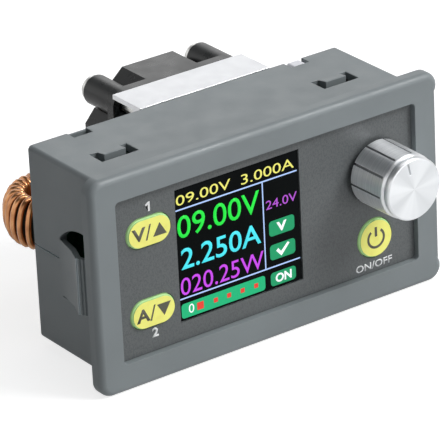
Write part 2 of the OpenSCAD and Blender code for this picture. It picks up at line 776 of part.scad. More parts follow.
// One turn as radius and height. It bulges round the rim as thick wire does, then goes over the top,
// down the bore with tighter bends, and back underneath to the rim
bore_angles = [135, 180, 180, 225];
function rim_point(t) = [belly_r + belly * cos(t), turn_half * sin(t)];
function bore_point(a, side) =
    [turn_in + bore_bend * (1 + cos(a)), side * (turn_half - bore_bend) + bore_bend * sin(a)];
function turn_point(k) = k < 5 ? rim_point(k * 22.5)
    : k < 9 ? bore_point(bore_angles[k - 5], k < 7 ? 1 : -1)
    : rim_point((k - 13) * 22.5);

steps = 13;
start_angle = -90 + lead_angle;
function wire_point(i) =
    let (p = turn_point(i % steps), a = start_angle + i * wound_angle / (turns * steps))
    [p[0] * cos(a), p[0] * sin(a), p[1]];
lead_l = choke_r + choke_gap + board_t;
turn_points = [for (i = [0:turns * steps]) wire_point(i)];
lead_bend = 0.9;
wire_path = concat([[lead_x, 0.6 - lead_l, 0], [lead_x, -turn_out * cos(lead_angle) - lead_bend, 0]],
    turn_points,
    [[-lead_x, -turn_out * cos(lead_angle) - lead_bend, 0], [-lead_x, 0.6 - lead_l, 0]]);

function unit(v) = v / norm(v);
// Each ring of the tube lies across the wire, with one side kept towards the choke's own axis
function ring_at(path, i, sides) =
    let (n = len(path),
        along = unit(path[min(i + 1, n - 1)] - path[max(i - 1, 0)]),
        about = unit([-path[i][1], path[i][0], 0.001]),
        side = unit(about - (about * along) * along),
        other = cross(along, side))
    [for (k = [0:sides - 1]) path[i] + wire_r * (cos(k * 360 / sides) * side + sin(k * 360 / sides) * other)];

module tube(path, sides) {
    n = len(path);
    points = [for (i = [0:n - 1]) each ring_at(path, i, sides)];
    walls = [for (i = [0:n - 2], k = [0:sides - 1])
        [i * sides + k, (i + 1) * sides + k, (i + 1) * sides + (k + 1) % sides, i * sides + (k + 1) % sides]];
    polyhedron(points, concat(walls, [[for (k = [0:sides - 1]) k]],
        [[for (k = [sides - 1:-1:0]) (n - 1) * sides + k]]));
}

module toroid_winding() color("#c87f45") translate([choke_x, choke_y, choke_z]) tube(wire_path, 8);

// --- capacitors, terminals, fuse and the rest of the power board -------------------------------------
cap_gap = 0.6;
module capacitor(z) {
    r = cap_dia / 2;
    translate([cap_x, power_rear, z]) rotate([-90, 0, 0]) rotate_extrude()
        polygon([[0, 0], [r - 0.2, 0], [r, 0.2], [r, 1.2], [r - 0.35, 1.7], [r, 2.2], [r, cap_l - 0.3],
            [r - 0.3, cap_l], [r - 1, cap_l], [r - 1, cap_l - 0.15], [0, cap_l - 0.15]]);
}
module capacitor_upper() color("#27324a") capacitor((cap_dia + cap_gap) / 2 + 0.8);
module capacitor_lower() color("#27324a") capacitor(0.8 - (cap_dia + cap_gap) / 2);

terminal_w = poles * pole_pitch;
terminal_x = fan_x - fan_w / 2 - part_gap - terminal_w / 2;
terminal_low = board_gap - inner_h / 2;
terminal_top = terminal_low + terminal_h;
terminal_mid = (terminal_top + terminal_low) / 2;
entry_w = 2.8;
entry_d = 3.4;
entry_y = power_rear + 2.8;
screw_r = 1.4;
clamp_t = 0.5;
module at_poles() {
    for (i = [0:poles - 1])
        translate([terminal_x + (i - (poles - 1) / 2) * pole_pitch, 0, terminal_mid]) children();
}
module terminal_block() color("#3f8f5a") difference() {
    union() {
        translate([terminal_x, 0, 0]) {
            block(-terminal_w / 2, terminal_w / 2, power_rear, power_rear + terminal_d * 0.72,
                terminal_low, terminal_top);
            block(-terminal_w / 2, terminal_w / 2, power_rear, power_rear + terminal_d,
                terminal_low + 1.2, terminal_top - 0.6);
        }
    }
    at_poles() {
        block(-entry_w / 2, entry_w / 2, entry_y, entry_y + entry_d, -terminal_h, 2);
        rod(0, 0, entry_y + entry_d - 1, power_rear + terminal_d + 1, screw_r + 0.1);
    }
}
module wire_clamps() color("#b9bcbe") at_poles() difference() {
    block(-entry_w / 2, entry_w / 2, entry_y, entry_y + entry_d, -screw_r - 0.1, 2);
    block(clamp_t - entry_w / 2, entry_w / 2 - clamp_t, entry_y + clamp_t, entry_y + entry_d - clamp_t,
        -screw_r - 1, 3);
}
module terminal_screws() color("#c9cbcd") at_poles() difference() {
    rod(0, 0, entry_y + entry_d, power_rear + terminal_d - 1.2, screw_r);
    translate([0, power_rear + terminal_d - 1.2, 0]) cube([2 * screw_r + 1, 1.2, 0.6], center = true);
}

fuse_r = fuse_dia / 2;
fuse_x = fan_x - fan_w / 2 - 2 * part_gap - fuse_l / 2;
fuse_y = power_rear + 0.9 + fuse_r;
fuse_z = post_z - head_r - 2 * part_gap - fuse_r;
clip_l = 5;
clip_t = 0.35;
module at_fuse_ends() {
    for (s = [-1, 1]) translate([fuse_x + s * (fuse_l / 2 - clip_l / 2), fuse_y, fuse_z]) children();
}
module fuse() color("#dfe6e8") translate([fuse_x, fuse_y, fuse_z]) rotate([0, 90, 0]) {
    cylinder(r = fuse_r - 0.25, h = fuse_l - 2, center = true);
    for (s = [-1, 1]) translate([0, 0, s * (fuse_l - clip_l) / 2])
        cylinder(r = fuse_r, h = clip_l, center = true);
}
module fuse_clips() color("#c9cbcd") at_fuse_ends() {
    difference() {
        rotate([0, 90, 0]) cylinder(r = fuse_r + 0.03 + clip_t, h = clip_l - 0.6, center = true);
        rotate([0, 90, 0]) cylinder(r = fuse_r + 0.03, h = clip_l, center = true);
        block(-clip_l, clip_l, fuse_r * 0.55, fuse_r + 2, -fuse_r * 2, fuse_r * 2);
    }
    difference() {
        block(0.3 - clip_l / 2, clip_l / 2 - 0.3, power_rear - fuse_y, -fuse_r * 0.6, -1, 1);
        rotate([0, 90, 0]) cylinder(r = fuse_r + 0.1, h = clip_l, center = true);
    }
}

shunt_r = 0.7;
shunt_l = 7;
shunt_rise = 3.2;
shunt_z = head_r + 2 * part_gap + shunt_r - post_z;
module shunt() color("#a8845a") translate([cap_x, 0, shunt_z]) {
    for (s = [-1, 1]) rod(s * shunt_l / 2, 0, power_rear, power_rear + shunt_rise, shunt_r);
    translate([0, power_rear + shunt_rise, 0]) rotate([0, 90, 0])
        cylinder(r = shunt_r, h = shunt_l, center = true);
    for (s = [-1, 1]) translate([s * shunt_l / 2, power_rear + shunt_rise, 0]) sphere(shunt_r);
}

diode_w = 9;
diode_h = 6;
module diode() color("#1d1e20") raise(power_rear, sink_y - pad_t - part_gap)
    translate([fan_x, 1 + diode_h / 2 - inner_h / 2]) rounded(diode_w, diode_h, 0.4);

case();
front_overlay();
display_glass();
display_frame();
display_board();
controller_chip();
key_voltage();
key_current();
key_power();
stem_voltage();
stem_current();
stem_power();
switch_voltage();
switch_current();
switch_power();
encoder_body();
encoder_rotor();
encoder_shaft();
knob();
board_header();
power_board();
board_screws();
transistors();
thermal_pad();
heat_sink();
sink_spacers();
sink_screws();
fan_frame();
fan_bearing();
fan_rotor();
fan_screws();
fan_socket();
socket_pins();
toroid_core();
toroid_winding();
capacitor_upper();
capacitor_lower();
terminal_block();
terminal_screws();
wire_clamps();
fuse_clips();
fuse();
shunt();
diode();
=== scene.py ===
import json
import math

import bmesh
import bpy
from mathutils import Matrix, Vector

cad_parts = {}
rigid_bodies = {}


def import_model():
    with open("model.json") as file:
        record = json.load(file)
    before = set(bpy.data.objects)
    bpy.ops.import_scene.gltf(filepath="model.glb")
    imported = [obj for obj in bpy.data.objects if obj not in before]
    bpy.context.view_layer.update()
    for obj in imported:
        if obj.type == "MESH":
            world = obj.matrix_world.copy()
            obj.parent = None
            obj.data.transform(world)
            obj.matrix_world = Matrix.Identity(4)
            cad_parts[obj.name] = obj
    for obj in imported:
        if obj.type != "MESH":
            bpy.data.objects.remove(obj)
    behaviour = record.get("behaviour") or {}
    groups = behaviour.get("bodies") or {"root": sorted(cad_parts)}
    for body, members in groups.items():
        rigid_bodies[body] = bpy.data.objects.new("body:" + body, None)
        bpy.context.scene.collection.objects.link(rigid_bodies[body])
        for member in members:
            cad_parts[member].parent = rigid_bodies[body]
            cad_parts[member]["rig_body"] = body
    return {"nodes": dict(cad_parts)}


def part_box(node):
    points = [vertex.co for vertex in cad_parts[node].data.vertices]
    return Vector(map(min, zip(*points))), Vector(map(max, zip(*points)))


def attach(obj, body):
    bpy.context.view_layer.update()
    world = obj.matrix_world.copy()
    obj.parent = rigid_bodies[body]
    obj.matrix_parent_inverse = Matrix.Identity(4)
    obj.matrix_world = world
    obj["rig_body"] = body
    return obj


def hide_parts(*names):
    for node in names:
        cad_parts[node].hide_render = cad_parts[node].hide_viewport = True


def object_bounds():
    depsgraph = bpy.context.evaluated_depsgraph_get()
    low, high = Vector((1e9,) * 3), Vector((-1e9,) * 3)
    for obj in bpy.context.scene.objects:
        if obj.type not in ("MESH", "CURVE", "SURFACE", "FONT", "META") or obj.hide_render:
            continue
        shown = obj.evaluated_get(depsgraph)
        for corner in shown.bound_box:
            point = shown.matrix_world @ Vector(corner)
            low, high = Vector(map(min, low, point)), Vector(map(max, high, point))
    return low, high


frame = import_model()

cad_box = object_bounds()

# --- Camera, lights and floor -----------------------------------------------------------------------------
# The module stands on a pale table. A large soft box hangs high at the front right, and weaker ones above,
# low in front and behind, so that its top is brightest and its left side lies in shade.
MM = 0.001
scene = bpy.context.scene
scene.view_settings.view_transform = "Standard"

view_azimuth = math.radians(-34.656)
view_elevation = math.radians(24.784)
view_roll = math.radians(-2.814)
camera_place = Vector((-382.75, -539.75, 307.65)) * MM
lens_mm = 323.0

toward_camera = Vector((math.sin(view_azimuth) * math.cos(view_elevation),
                        -math.cos(view_azimuth) * math.cos(view_elevation), math.sin(view_elevation)))
level_right = Vector((math.cos(view_azimuth), math.sin(view_azimuth), 0))
level_up = toward_camera.cross(level_right)
camera_right = math.cos(view_roll) * level_right + math.sin(view_roll) * level_up
camera_up = math.cos(view_roll) * level_up - math.sin(view_roll) * level_right

camera_data = bpy.data.cameras.new("camera")
camera_data.sensor_width = 36
camera_data.lens = lens_mm
camera_data.clip_start = 0.05
camera_data.clip_end = 20
camera = bpy.data.objects.new("camera", camera_data)
turn = Matrix((camera_right, camera_up, toward_camera)).transposed()
camera.matrix_world = Matrix.Translation(camera_place) @ turn.to_4x4()
scene.collection.objects.link(camera)
scene.camera = camera


def soft_light(name, place, aim, size, power):
    data = bpy.data.lights.new(name, "AREA")
    data.shape = "RECTANGLE"
    data.size, data.size_y = size
    data.energy = power
    lamp = bpy.data.objects.new(name, data)
    lamp.location = place
    lamp.rotation_euler = (Vector(aim) - Vector(place)).to_track_quat("-Z", "Y").to_euler()
    scene.collection.objects.link(lamp)


soft_light("key_box", (0.49, -0.47, 0.66), (0, 0, 0), (0.40, 0.40), 6.5)
soft_light("top_box", (0.10, -0.05, 0.80), (0, 0, 0), (0.6, 0.5), 1.4)
soft_light("front_box", (0.15, -0.75, 0.12), (0, 0, 0), (0.30, 0.30), 1.0)
soft_light("rear_box", (0.47, 0.68, 0.40), (0, 0.02, 0), (0.55, 0.35), 0.5)


def combine(tree, operation, *values):
    """A Math node on sockets or plain numbers."""
    sum_of = tree.nodes.new("ShaderNodeMath")
    sum_of.operation = operation
    for socket, value in zip(sum_of.inputs, values):
        if isinstance(value, (int, float)):
            socket.default_value = value
        else:
            tree.links.new(value, socket)
    return sum_of.outputs[0]


# A dim room for the light that falls on the part, and a white backdrop low down for what it mirrors
world = bpy.data.worlds.new("studio")
scene.world = world
world.use_nodes = True
sky = world.node_tree
sky.nodes.clear()
seen = sky.nodes.new("ShaderNodeLightPath")
way = sky.nodes.new("ShaderNodeTexCoord")
heading = sky.nodes.new("ShaderNodeSeparateXYZ")
sky.links.new(way.outputs["Generated"], heading.inputs[0])
fade_low, fade_high = 0.40, 0.62
backdrop = sky.nodes.new("ShaderNodeMapRange")
for label, value in (("From Min", fade_low), ("From Max", fade_high), ("To Min", 1), ("To Max", 0)):
    backdrop.inputs[label].default_value = value
sky.links.new(heading.outputs["Z"], backdrop.inputs["Value"])
mirrored = combine(sky, "MULTIPLY", backdrop.outputs["Result"], seen.outputs["Is Glossy Ray"])
straight = combine(sky, "MAXIMUM", seen.outputs["Is Camera Ray"], seen.outputs["Is Transmission Ray"])
room = sky.nodes.new("ShaderNodeBackground")
room.inputs["Color"].default_value = (0.82, 0.85, 0.88, 1)
room.inputs["Strength"].default_value = 0.11
white = sky.nodes.new("ShaderNodeBackground")
white.inputs["Color"].default_value = (1, 1, 1, 1)
mix = sky.nodes.new("ShaderNodeMixShader")
out = sky.nodes.new("ShaderNodeOutputWorld")
sky.links.new(combine(sky, "MAXIMUM", straight, mirrored), mix.inputs["Fac"])
sky.links.new(room.outputs[0], mix.inputs[1])
sky.links.new(white.outputs[0], mix.inputs[2])
sky.links.new(mix.outputs[0], out.inputs["Surface"])

floor_z = cad_box[0][2]
floor_half = 3
floor_corners = [(x * floor_half, y * floor_half, floor_z) for x, y in ((-1, -1), (1, -1), (1, 1), (-1, 1))]
floor_mesh = bpy.data.meshes.new("table_top")
floor_mesh.from_pydata(floor_corners, [], [(0, 1, 2, 3)])
floor = bpy.data.objects.new("table_top", floor_mesh)
scene.collection.objects.link(floor)
# The table looks white straight on and mirrored, and throws less light up at the part than a white one would
floor_paint = bpy.data.materials.new("pale_table")
floor_paint.use_nodes = True
floor_tree = floor_paint.node_tree
floor_shader = floor_tree.nodes["Principled BSDF"]
floor_shader.inputs["Roughness"].default_value = 0.9
floor_shader.inputs["Specular IOR Level"].default_value = 0.1
floor_shader.inputs["Emission Color"].default_value = (1, 1, 1, 1)
floor_seen = floor_tree.nodes.new("ShaderNodeLightPath")
camera_ray = floor_seen.outputs["Is Camera Ray"]
glossy_ray = floor_seen.outputs["Is Glossy Ray"]
floor_tone = floor_tree.nodes.new("ShaderNodeMapRange")
floor_tone.inputs["To Min"].default_value = 0.42
floor_tone.inputs["To Max"].default_value = 0.55
floor_tree.links.new(combine(floor_tree, "MAXIMUM", camera_ray, glossy_ray), floor_tone.inputs["Value"])
floor_tree.links.new(floor_tone.outputs["Result"], floor_shader.inputs["Base Color"])
floor_sheen = combine(floor_tree, "MULTIPLY_ADD", glossy_ray, 0.24, 0.14)
floor_fill = combine(floor_tree, "MULTIPLY_ADD", camera_ray, 0.62, floor_sheen)
floor_tree.links.new(floor_fill, floor_shader.inputs["Emission Strength"])
floor_mesh.materials.append(floor_paint)


# --- Case -------------------------------------------------------------------------------------------------
# One moulding in grey ABS: flange, body, side wings and snap tongues. Its faces carry a very fine moulded
# grain, its edges are slightly rounded by the mould, and the colour drifts a little from place to place.
def new_material(name):
    """A material with its shader, and the object coordinates that its patterns read."""
    made = bpy.data.materials.new(name)
    made.use_nodes = True
    tree = made.node_tree
    place = tree.nodes.new("ShaderNodeTexCoord")
    return made, tree, tree.nodes["Principled BSDF"], place.outputs["Object"]


def noise(tree, place, scale, detail, stretch=(1, 1, 1)):
    """Noise with `scale` features in a metre, stretched along the axes."""
    spread = tree.nodes.new("ShaderNodeMapping")
    spread.inputs["Scale"].default_value = stretch
    tree.links.new(place, spread.inputs["Vector"])
    cloud = tree.nodes.new("ShaderNodeTexNoise")
    cloud.inputs["Scale"].default_value = scale
    cloud.inputs["Detail"].default_value = detail
    tree.links.new(spread.outputs[0], cloud.inputs["Vector"])
    return cloud.outputs["Fac"]


def ramp(tree, value, stops):
    """Turns a value into a colour through (position, colour) stops."""
    band = tree.nodes.new("ShaderNodeValToRGB")
    while len(band.color_ramp.elements) < len(stops):
        band.color_ramp.elements.new(0.5)
    for element, (position, colour) in zip(band.color_ramp.elements, stops):
        element.position = position
        element.color = (*colour, 1)
    tree.links.new(value, band.inputs["Fac"])
    return band.outputs["Color"]


def bump(tree, shader, value, depth, strength):
    """Presses a pattern into the surface, `depth` metres deep."""
    press = tree.nodes.new("ShaderNodeBump")
    press.inputs["Distance"].default_value = depth
    press.inputs["Strength"].default_value = strength
    tree.links.new(value, press.inputs["Height"])
    tree.links.new(press.outputs[0], shader.inputs["Normal"])


def shade(colour, factor):
    return tuple(min(1, c * factor) for c in colour)


def moulded_plastic(name, colour, roughness, grain=0.00002, drift=0.06):
    """Plastic with a fine grain of the given depth, and a colour that drifts by the given share."""
    made, tree, shader, place = new_material(name)
    cloud = noise(tree, place, 60, 4)
    colours = ramp(tree, cloud, [(0.3, shade(colour, 1 - drift)), (0.7, shade(colour, 1 + drift))])
    tree.links.new(colours, shader.inputs["Base Color"])
    smear = noise(tree, place, 240, 3)
    rough = ramp(tree, smear, [(0.3, (roughness - 0.06,) * 3), (0.7, (roughness + 0.07,) * 3)])
    tree.links.new(rough, shader.inputs["Roughness"])
    shader.inputs["Specular IOR Level"].default_value = 0.45
    bump(tree, shader, noise(tree, place, 5000, 2), grain, 0.35)
    return made


def welded_copy(node):
    """A merged copy of a CAD node's mesh, with its flat faces joined up."""
    copy = bmesh.new()
    copy.from_mesh(frame["nodes"][node].data)
    bmesh.ops.remove_doubles(copy, verts=copy.verts, dist=0.000002)
    bmesh.ops.dissolve_limit(copy, angle_limit=math.radians(0.5), verts=copy.verts, edges=copy.edges)
    return copy


def smooth_by_angle(mesh, degrees):
    for face in mesh.polygons:
        face.use_smooth = True
    with bpy.context.temp_override():
        mesh.set_sharp_from_angle(angle=math.radians(degrees))


def weigh_normals(piece):
    """Lets the large faces lead the shading, so that flat walls stay flat beside their rounded edges."""
    weigh = piece.modifiers.new("weigh", "WEIGHTED_NORMAL")
    weigh.mode = "FACE_AREA"
    weigh.keep_sharp = True
    done = bpy.data.meshes.new_from_object(piece.evaluated_get(bpy.context.evaluated_depsgraph_get()))
    piece.modifiers.clear()
    piece.data = done


def extent(mesh):
    """The lowest and the highest place of a mesh on each axis."""
    return [limit(v.co[axis] for v in mesh.verts) for axis in range(3) for limit in (min, max)]


least_edge, least_width, box_slack = 0.00002, 0.00001, 0.000002
edge_room = 2.2


def rounded_copy(node, width, smooth):
    """The node's mesh, its sharp edges rounded where both sides have room, and less where that spills out."""
    while True:
        copy = welded_copy(node)
        before = extent(copy)
        sharp = [e for e in copy.edges if e.is_manifold and e.calc_face_angle(0) > math.radians(smooth)]
        roomy = [e for e in sharp if e.calc_length() > least_edge
                 and min(f.calc_area() for f in e.link_faces) > edge_room * width * e.calc_length()]
        bmesh.ops.bevel(copy, geom=roomy, offset=width, segments=2, profile=0.5, affect="EDGES",
                        clamp_overlap=False)
        spill = max(abs(a - b) for a, b in zip(before, extent(copy)))
        if width < least_width or spill < box_slack:
            return copy
        copy.free()
        width /= 2


def dress(node, material, edge, smooth=32):
    """Stands for a CAD node: the same form, with its edges rounded by `edge` millimetres."""
    copy = rounded_copy(node, edge * MM, smooth) if edge else welded_copy(node)
    mesh = bpy.data.meshes.new(node + "_dressed")
    copy.to_mesh(mesh)
    copy.free()
    mesh.materials.append(material)
    piece = bpy.data.objects.new(node + "_dressed", mesh)
    scene.collection.objects.link(piece)
    smooth_by_angle(piece.data, smooth)
    weigh_normals(piece)
    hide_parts(node)
    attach(piece, frame["nodes"][node]["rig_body"])
    return piece


def paint_faces(piece, material, wanted):
    """Gives a second material to the faces whose centre and normal pass the test."""
    piece.data.materials.append(material)
    last = len(piece.data.materials) - 1
    for face in piece.data.polygons:
        if wanted(face.center, face.normal):
            face.material_index = last


case_grey = (0.222, 0.249, 0.259)
case_plastic = moulded_plastic("case_plastic", case_grey, roughness=0.43)
case = dress("case", case_plastic, edge=0.15)
# The groove where the halves of the mould met shows on the side walls, behind the wings. It is painted paler
# than the case: painted light that lifts the shade in the groove.
seam_z, seam_half, seam_front, wall_x = -0.0002, 0.00016, 0.0145, 0.0345
seam_painted_light = moulded_plastic("seam_painted_light", shade(case_grey, 2.2), roughness=0.43)
paint_faces(case, seam_painted_light,
            lambda c, n: abs(c.z - seam_z) < seam_half and c.y > seam_front and abs(c.x) > wall_x)
# The outermost ridge of each wing is painted pale: a painted highlight.
ridge_front, ridge_back, ridge_x = 0.0053, 0.0061, 0.0375
ridge_highlight_paint = moulded_plastic("wing_ridge_highlight", shade(case_grey, 2.6), roughness=0.35)
paint_faces(case, ridge_highlight_paint, lambda c, n: abs(c.x) > ridge_x and ridge_front < c.y < ridge_back)


# --- Front overlay ----------------------------------------------------------------------------------------
# A thin polyester film, printed dark grey with a fine brushed grain and stuck into the recess of the flange.
# It has openings for the keys, the display and the knob.
def brushed_film(name, colour):
    made, tree, shader, place = new_material(name)
    streaks = noise(tree, place, 2200, 4, (1.5, 1, 0.7))
    specks = noise(tree, place, 5200, 2)
    grain = combine(tree, "ADD", streaks, specks)
    # Two stops share one place, so that the lightest specks stand out sharply
    colours = ramp(tree, grain, [(0.8, shade(colour, 0.86)), (1.0, colour), (1.0, shade(colour, 1.16))])
    tree.links.new(colours, shader.inputs["Base Color"])
    shader.inputs["Roughness"].default_value = 0.42
    bump(tree, shader, streaks, 0.00001, 0.4)
    return made


overlay = dress("front_overlay", brushed_film("overlay_film", (0.104, 0.113, 0.116)), edge=0)


# --- Overlay legends --------------------------------------------------------------------------------------
# White ink, screen printed on the film in one thin layer: a plain number by each of the two long keys, and
# ON/OFF below the round one.
def mark_mesh(marks, face_y, thickness):
    """Letters as one mesh facing the front.

    Each mark is its text, left x, low z, width, height and weight, in mm."""
    joined = bmesh.new()
    for text, left, low, width, height, weight in marks:
        curve = bpy.data.curves.new("letters", "FONT")
        curve.body = text
        curve.offset = weight
        curve.resolution_u = 4
        letters = bpy.data.objects.new("letters", curve)
        scene.collection.objects.link(letters)
        flat = bpy.data.meshes.new_from_object(letters.evaluated_get(bpy.context.evaluated_depsgraph_get()))
        bpy.data.objects.remove(letters)
        xs = [v.co.x for v in flat.vertices]
        ys = [v.co.y for v in flat.vertices]
        wide = width / (max(xs) - min(xs))
        tall = height / (max(ys) - min(ys))
        for v in flat.vertices:
            v.co = Vector((left + (v.co.x - min(xs)) * wide, 0, low + (v.co.y - min(ys)) * tall)) * MM
        joined.from_mesh(flat)
        bpy.data.meshes.remove(flat)
    return printed_mesh(joined, face_y, thickness)


def printed_mesh(joined, face_y, thickness):
    """Raises flat faces in the X-Z plane into closed ink of the given thickness on a face at y, in metres."""
    bmesh.ops.remove_doubles(joined, verts=joined.verts, dist=0.0000005)
    raised = bmesh.ops.extrude_face_region(joined, geom=joined.faces[:])["geom"]
    front = [v for v in raised if isinstance(v, bmesh.types.BMVert)]
    for v in joined.verts:
        v.co.y = face_y
    for v in front:
        v.co.y = face_y - thickness
    bmesh.ops.recalc_face_normals(joined, faces=joined.faces)
    mesh = bpy.data.meshes.new("print")
    joined.to_mesh(mesh)
    joined.free()
    return mesh


def outline_faces(outlines):
    """Flat n-sided faces from lists of (x, z) points in mm."""
    joined = bmesh.new()
    for points in outlines:
        joined.faces.new([joined.verts.new(Vector((x, 0, z)) * MM) for x, z in points])
    bmesh.ops.triangulate(joined, faces=joined.faces[:])
    return joined


def add_piece(name, mesh, material, body):
    piece = bpy.data.objects.new(name, mesh)
    mesh.materials.clear()
    mesh.materials.append(material)
    scene.collection.objects.link(piece)
    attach(piece, body)


def ink(name, colour):
    made, tree, shader, place = new_material(name)
    colours = ramp(tree, noise(tree, place, 3000, 2), [(0.35, shade(colour, 0.9)), (0.7, colour)])
    tree.links.new(colours, shader.inputs["Base Color"])
    shader.inputs["Roughness"].default_value = 0.55
    return made


film_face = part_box("front_overlay")[0].y
ink_t = 0.00003
white_ink = ink("white_ink", (0.93, 0.94, 0.95))
legends = mark_mesh([("2", -27.1, -13.0, 1.4, 1.9, 0.03), ("ON/OFF", 19.7, -15.0, 8.6, 1.5, 0.014)],
                    film_face, ink_t)
add_piece("overlay_legends", legends, white_ink, "housing")
one = [(-26.5, 12.2), (-26.05, 12.2), (-26.05, 14.1), (-26.4, 14.1), (-27.1, 13.65), (-26.9, 13.3),
       (-26.5, 13.55)]
add_piece("overlay_one", printed_mesh(outline_faces([one]), film_face, ink_t), white_ink, "housing")


# --- Colour display ---------------------------------------------------------------------------------------
# Black glass behind the film, held by the display frame. It lights its own readings in large figures, thin
# divider lines, and rounded buttons down the right side. The figures are plain numbers with their units.
def glow(name, colour, strength):
    made, tree, shader, place = new_material(name)
    cells = ramp(tree, noise(tree, place, 4000, 1), [(0.3, shade(colour, 0.9)), (0.7, colour)])
    tree.links.new(cells, shader.inputs["Emission Color"])
    shader.inputs["Emission Strength"].default_value = strength
    shader.inputs["Base Color"].default_value = (*shade(colour, 0.25), 1)
    shader.inputs["Roughness"].default_value = 0.3
    shader.inputs["Specular IOR Level"].default_value = 0.1
    return made


def glass_black(name):
    made, tree, shader, place = new_material(name)
    cloud = noise(tree, place, 90, 2)
    colours = ramp(tree, cloud, [(0.3, (0.0015, 0.0025, 0.0025)), (0.7, (0.0040, 0.0055, 0.0060))])
    tree.links.new(colours, shader.inputs["Base Color"])
    shader.inputs["Roughness"].default_value = 0.16
    shader.inputs["Specular IOR Level"].default_value = 0.04
    return made


glass = dress("display_glass", glass_black("display_black"), edge=0.05)
glass_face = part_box("display_glass")[0].y
glow_t = 0.00002


def round_box(left, right, low, high, r, steps=5):
    """Outline of a box with round corners of radius r, each in a few straight steps."""
    corners = [(right - r, high - r, 0), (left + r, high - r, 90), (left + r, low + r, 180),
               (right - r, low + r, 270)]
    bends = [(x, z, math.radians(a + 90 * k / steps)) for x, z, a in corners for k in range(steps + 1)]
    return [(x + r * math.cos(a), z + r * math.sin(a)) for x, z, a in bends]


def add_lit(name, mesh, colour, strength):
    add_piece("screen_" + name, mesh, glow("screen_" + name, colour, strength), "housing")


def screen_marks(name, marks, colour, layer=1):
    add_lit(name, mark_mesh(marks, glass_face - (layer - 1) * glow_t, glow_t), colour, 1.0)


def screen_shapes(name, outlines, colour, strength=1.0, layer=1):
    mesh = printed_mesh(outline_faces(outlines), glass_face - (layer - 1) * glow_t, glow_t)
    add_lit(name, mesh, colour, strength)


screen_marks("set_line", [("09.00V", -20.2, 11.1, 12.2, 2.0, 0.0), ("3.000A", -5.6, 11.0, 12.0, 2.0, 0.0)],
             (0.78, 0.75, 0.17))
screen_marks("volts", [("09.00V", -20.2, 4.45, 18.5, 4.5, 0.005)], (0.02, 0.76, 0.06))
screen_marks("amps", [("2.250A", -19.7, -1.85, 18.0, 4.2, 0.008)], (0.07, 0.74, 0.84))
screen_marks("watts", [("020.25W", -20.1, -7.0, 18.8, 3.5, 0.0)], (0.55, 0.07, 0.78))
screen_marks("supply", [("24.0V", -0.3, 4.3, 7.1, 1.8, 0.0)], (0.42, 0.09, 0.60))
dividers = [round_box(-20.4, 7.0, 10.1, 10.38, 0.05, 1), round_box(-20.4, 7.0, -7.72, -7.45, 0.05, 1),
            round_box(-1.05, -0.8, -7.45, 10.1, 0.05, 1)]
screen_shapes("lines", dividers, (0.42, 0.58, 0.95))
buttons = [round_box(0.2, 6.0, -1.35, 1.75, 0.7), round_box(0.2, 6.0, -6.2, -3.1, 0.7),
           round_box(0.1, 5.9, -11.5, -8.75, 0.7)]
screen_shapes("buttons", buttons, (0.02, 0.33, 0.14), 0.9)
screen_shapes("bar", [round_box(-20.2, -1.2, -11.6, -8.65, 0.6)], (0.02, 0.45, 0.19), 0.95)
dot_z = -10.1
dots = [round_box(x - half, x + half, dot_z - half, dot_z + half, 0.05, 1)
        for x, half in ((-16.0, 0.75), (-12.5, 0.45), (-9.5, 0.45), (-6.4, 0.45), (-3.3, 0.45))]
screen_shapes("dots", dots, (0.74, 0.06, 0.04), layer=2)
screen_marks("button_marks", [("V", 1.9, -0.75, 2.3, 1.9, 0.04), ("ON", 1.2, -11.0, 3.7, 1.8, 0.03),
                              ("0", -18.6, -10.9, 1.2, 1.8, 0.0)], (0.95, 0.97, 1.0), layer=2)
tick = [(1.6, -4.5), (2.1, -4.1), (2.7, -4.9), (4.3, -3.4), (4.7, -3.7), (2.75, -5.8)]
screen_shapes("tick", [tick], (0.95, 0.97, 1.0), layer=2)


# --- Keys -------------------------------------------------------------------------------------------------
# Silicone rubber caps, translucent yellow with a green rim round each, and a faint glow of their own colour
# painted in as emission:
# painted light. Their dark marks are printed on top. The stem of each switch moves with its key.
def painted_glow_rubber(name, colour, painted_glow):
    made, tree, shader, place = new_material(name)
    cloud = noise(tree, place, 700, 3)
    colours = ramp(tree, cloud, [(0.25, shade(colour, 0.93)), (0.75, shade(colour, 1.05))])
    tree.links.new(colours, shader.inputs["Base Color"])
    shader.inputs["Roughness"].default_value = 0.5
    shader.inputs["Subsurface Weight"].default_value = 0.15
    shader.inputs["Subsurface Radius"].default_value = (0.001, 0.001, 0.0004)
    shader.inputs["Subsurface Scale"].default_value = 0.5
    # Emission: a faint painted glow in the cap's own colour
    tree.links.new(colours, shader.inputs["Emission Color"])
    shader.inputs["Emission Strength"].default_value = painted_glow
    bump(tree, shader, noise(tree, place, 6000, 2), 0.00001, 0.3)
    return made


yellow_rubber = painted_glow_rubber("key_rubber", (0.84, 0.82, 0.20), 0.22)
rim_rubber = painted_glow_rubber("key_rim_rubber", (0.40, 0.66, 0.28), 0.25)
mark_ink = ink("key_mark_ink", (0.105, 0.105, 0.075))

# The cap is yellow on its face and green at its rim
face_skin = 0.0002
for node in ("key_voltage", "key_current", "key_power"):
    cap = dress(node, rim_rubber, edge=0.22, smooth=40)
    cap_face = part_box(node)[0].y
    paint_faces(cap, yellow_rubber, lambda c, n: c.y < cap_face + face_skin and n.y < -0.6)


def centre_mm(node):
    low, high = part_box(node)
    return (low.x + high.x) / 2 / MM, (low.z + high.z) / 2 / MM


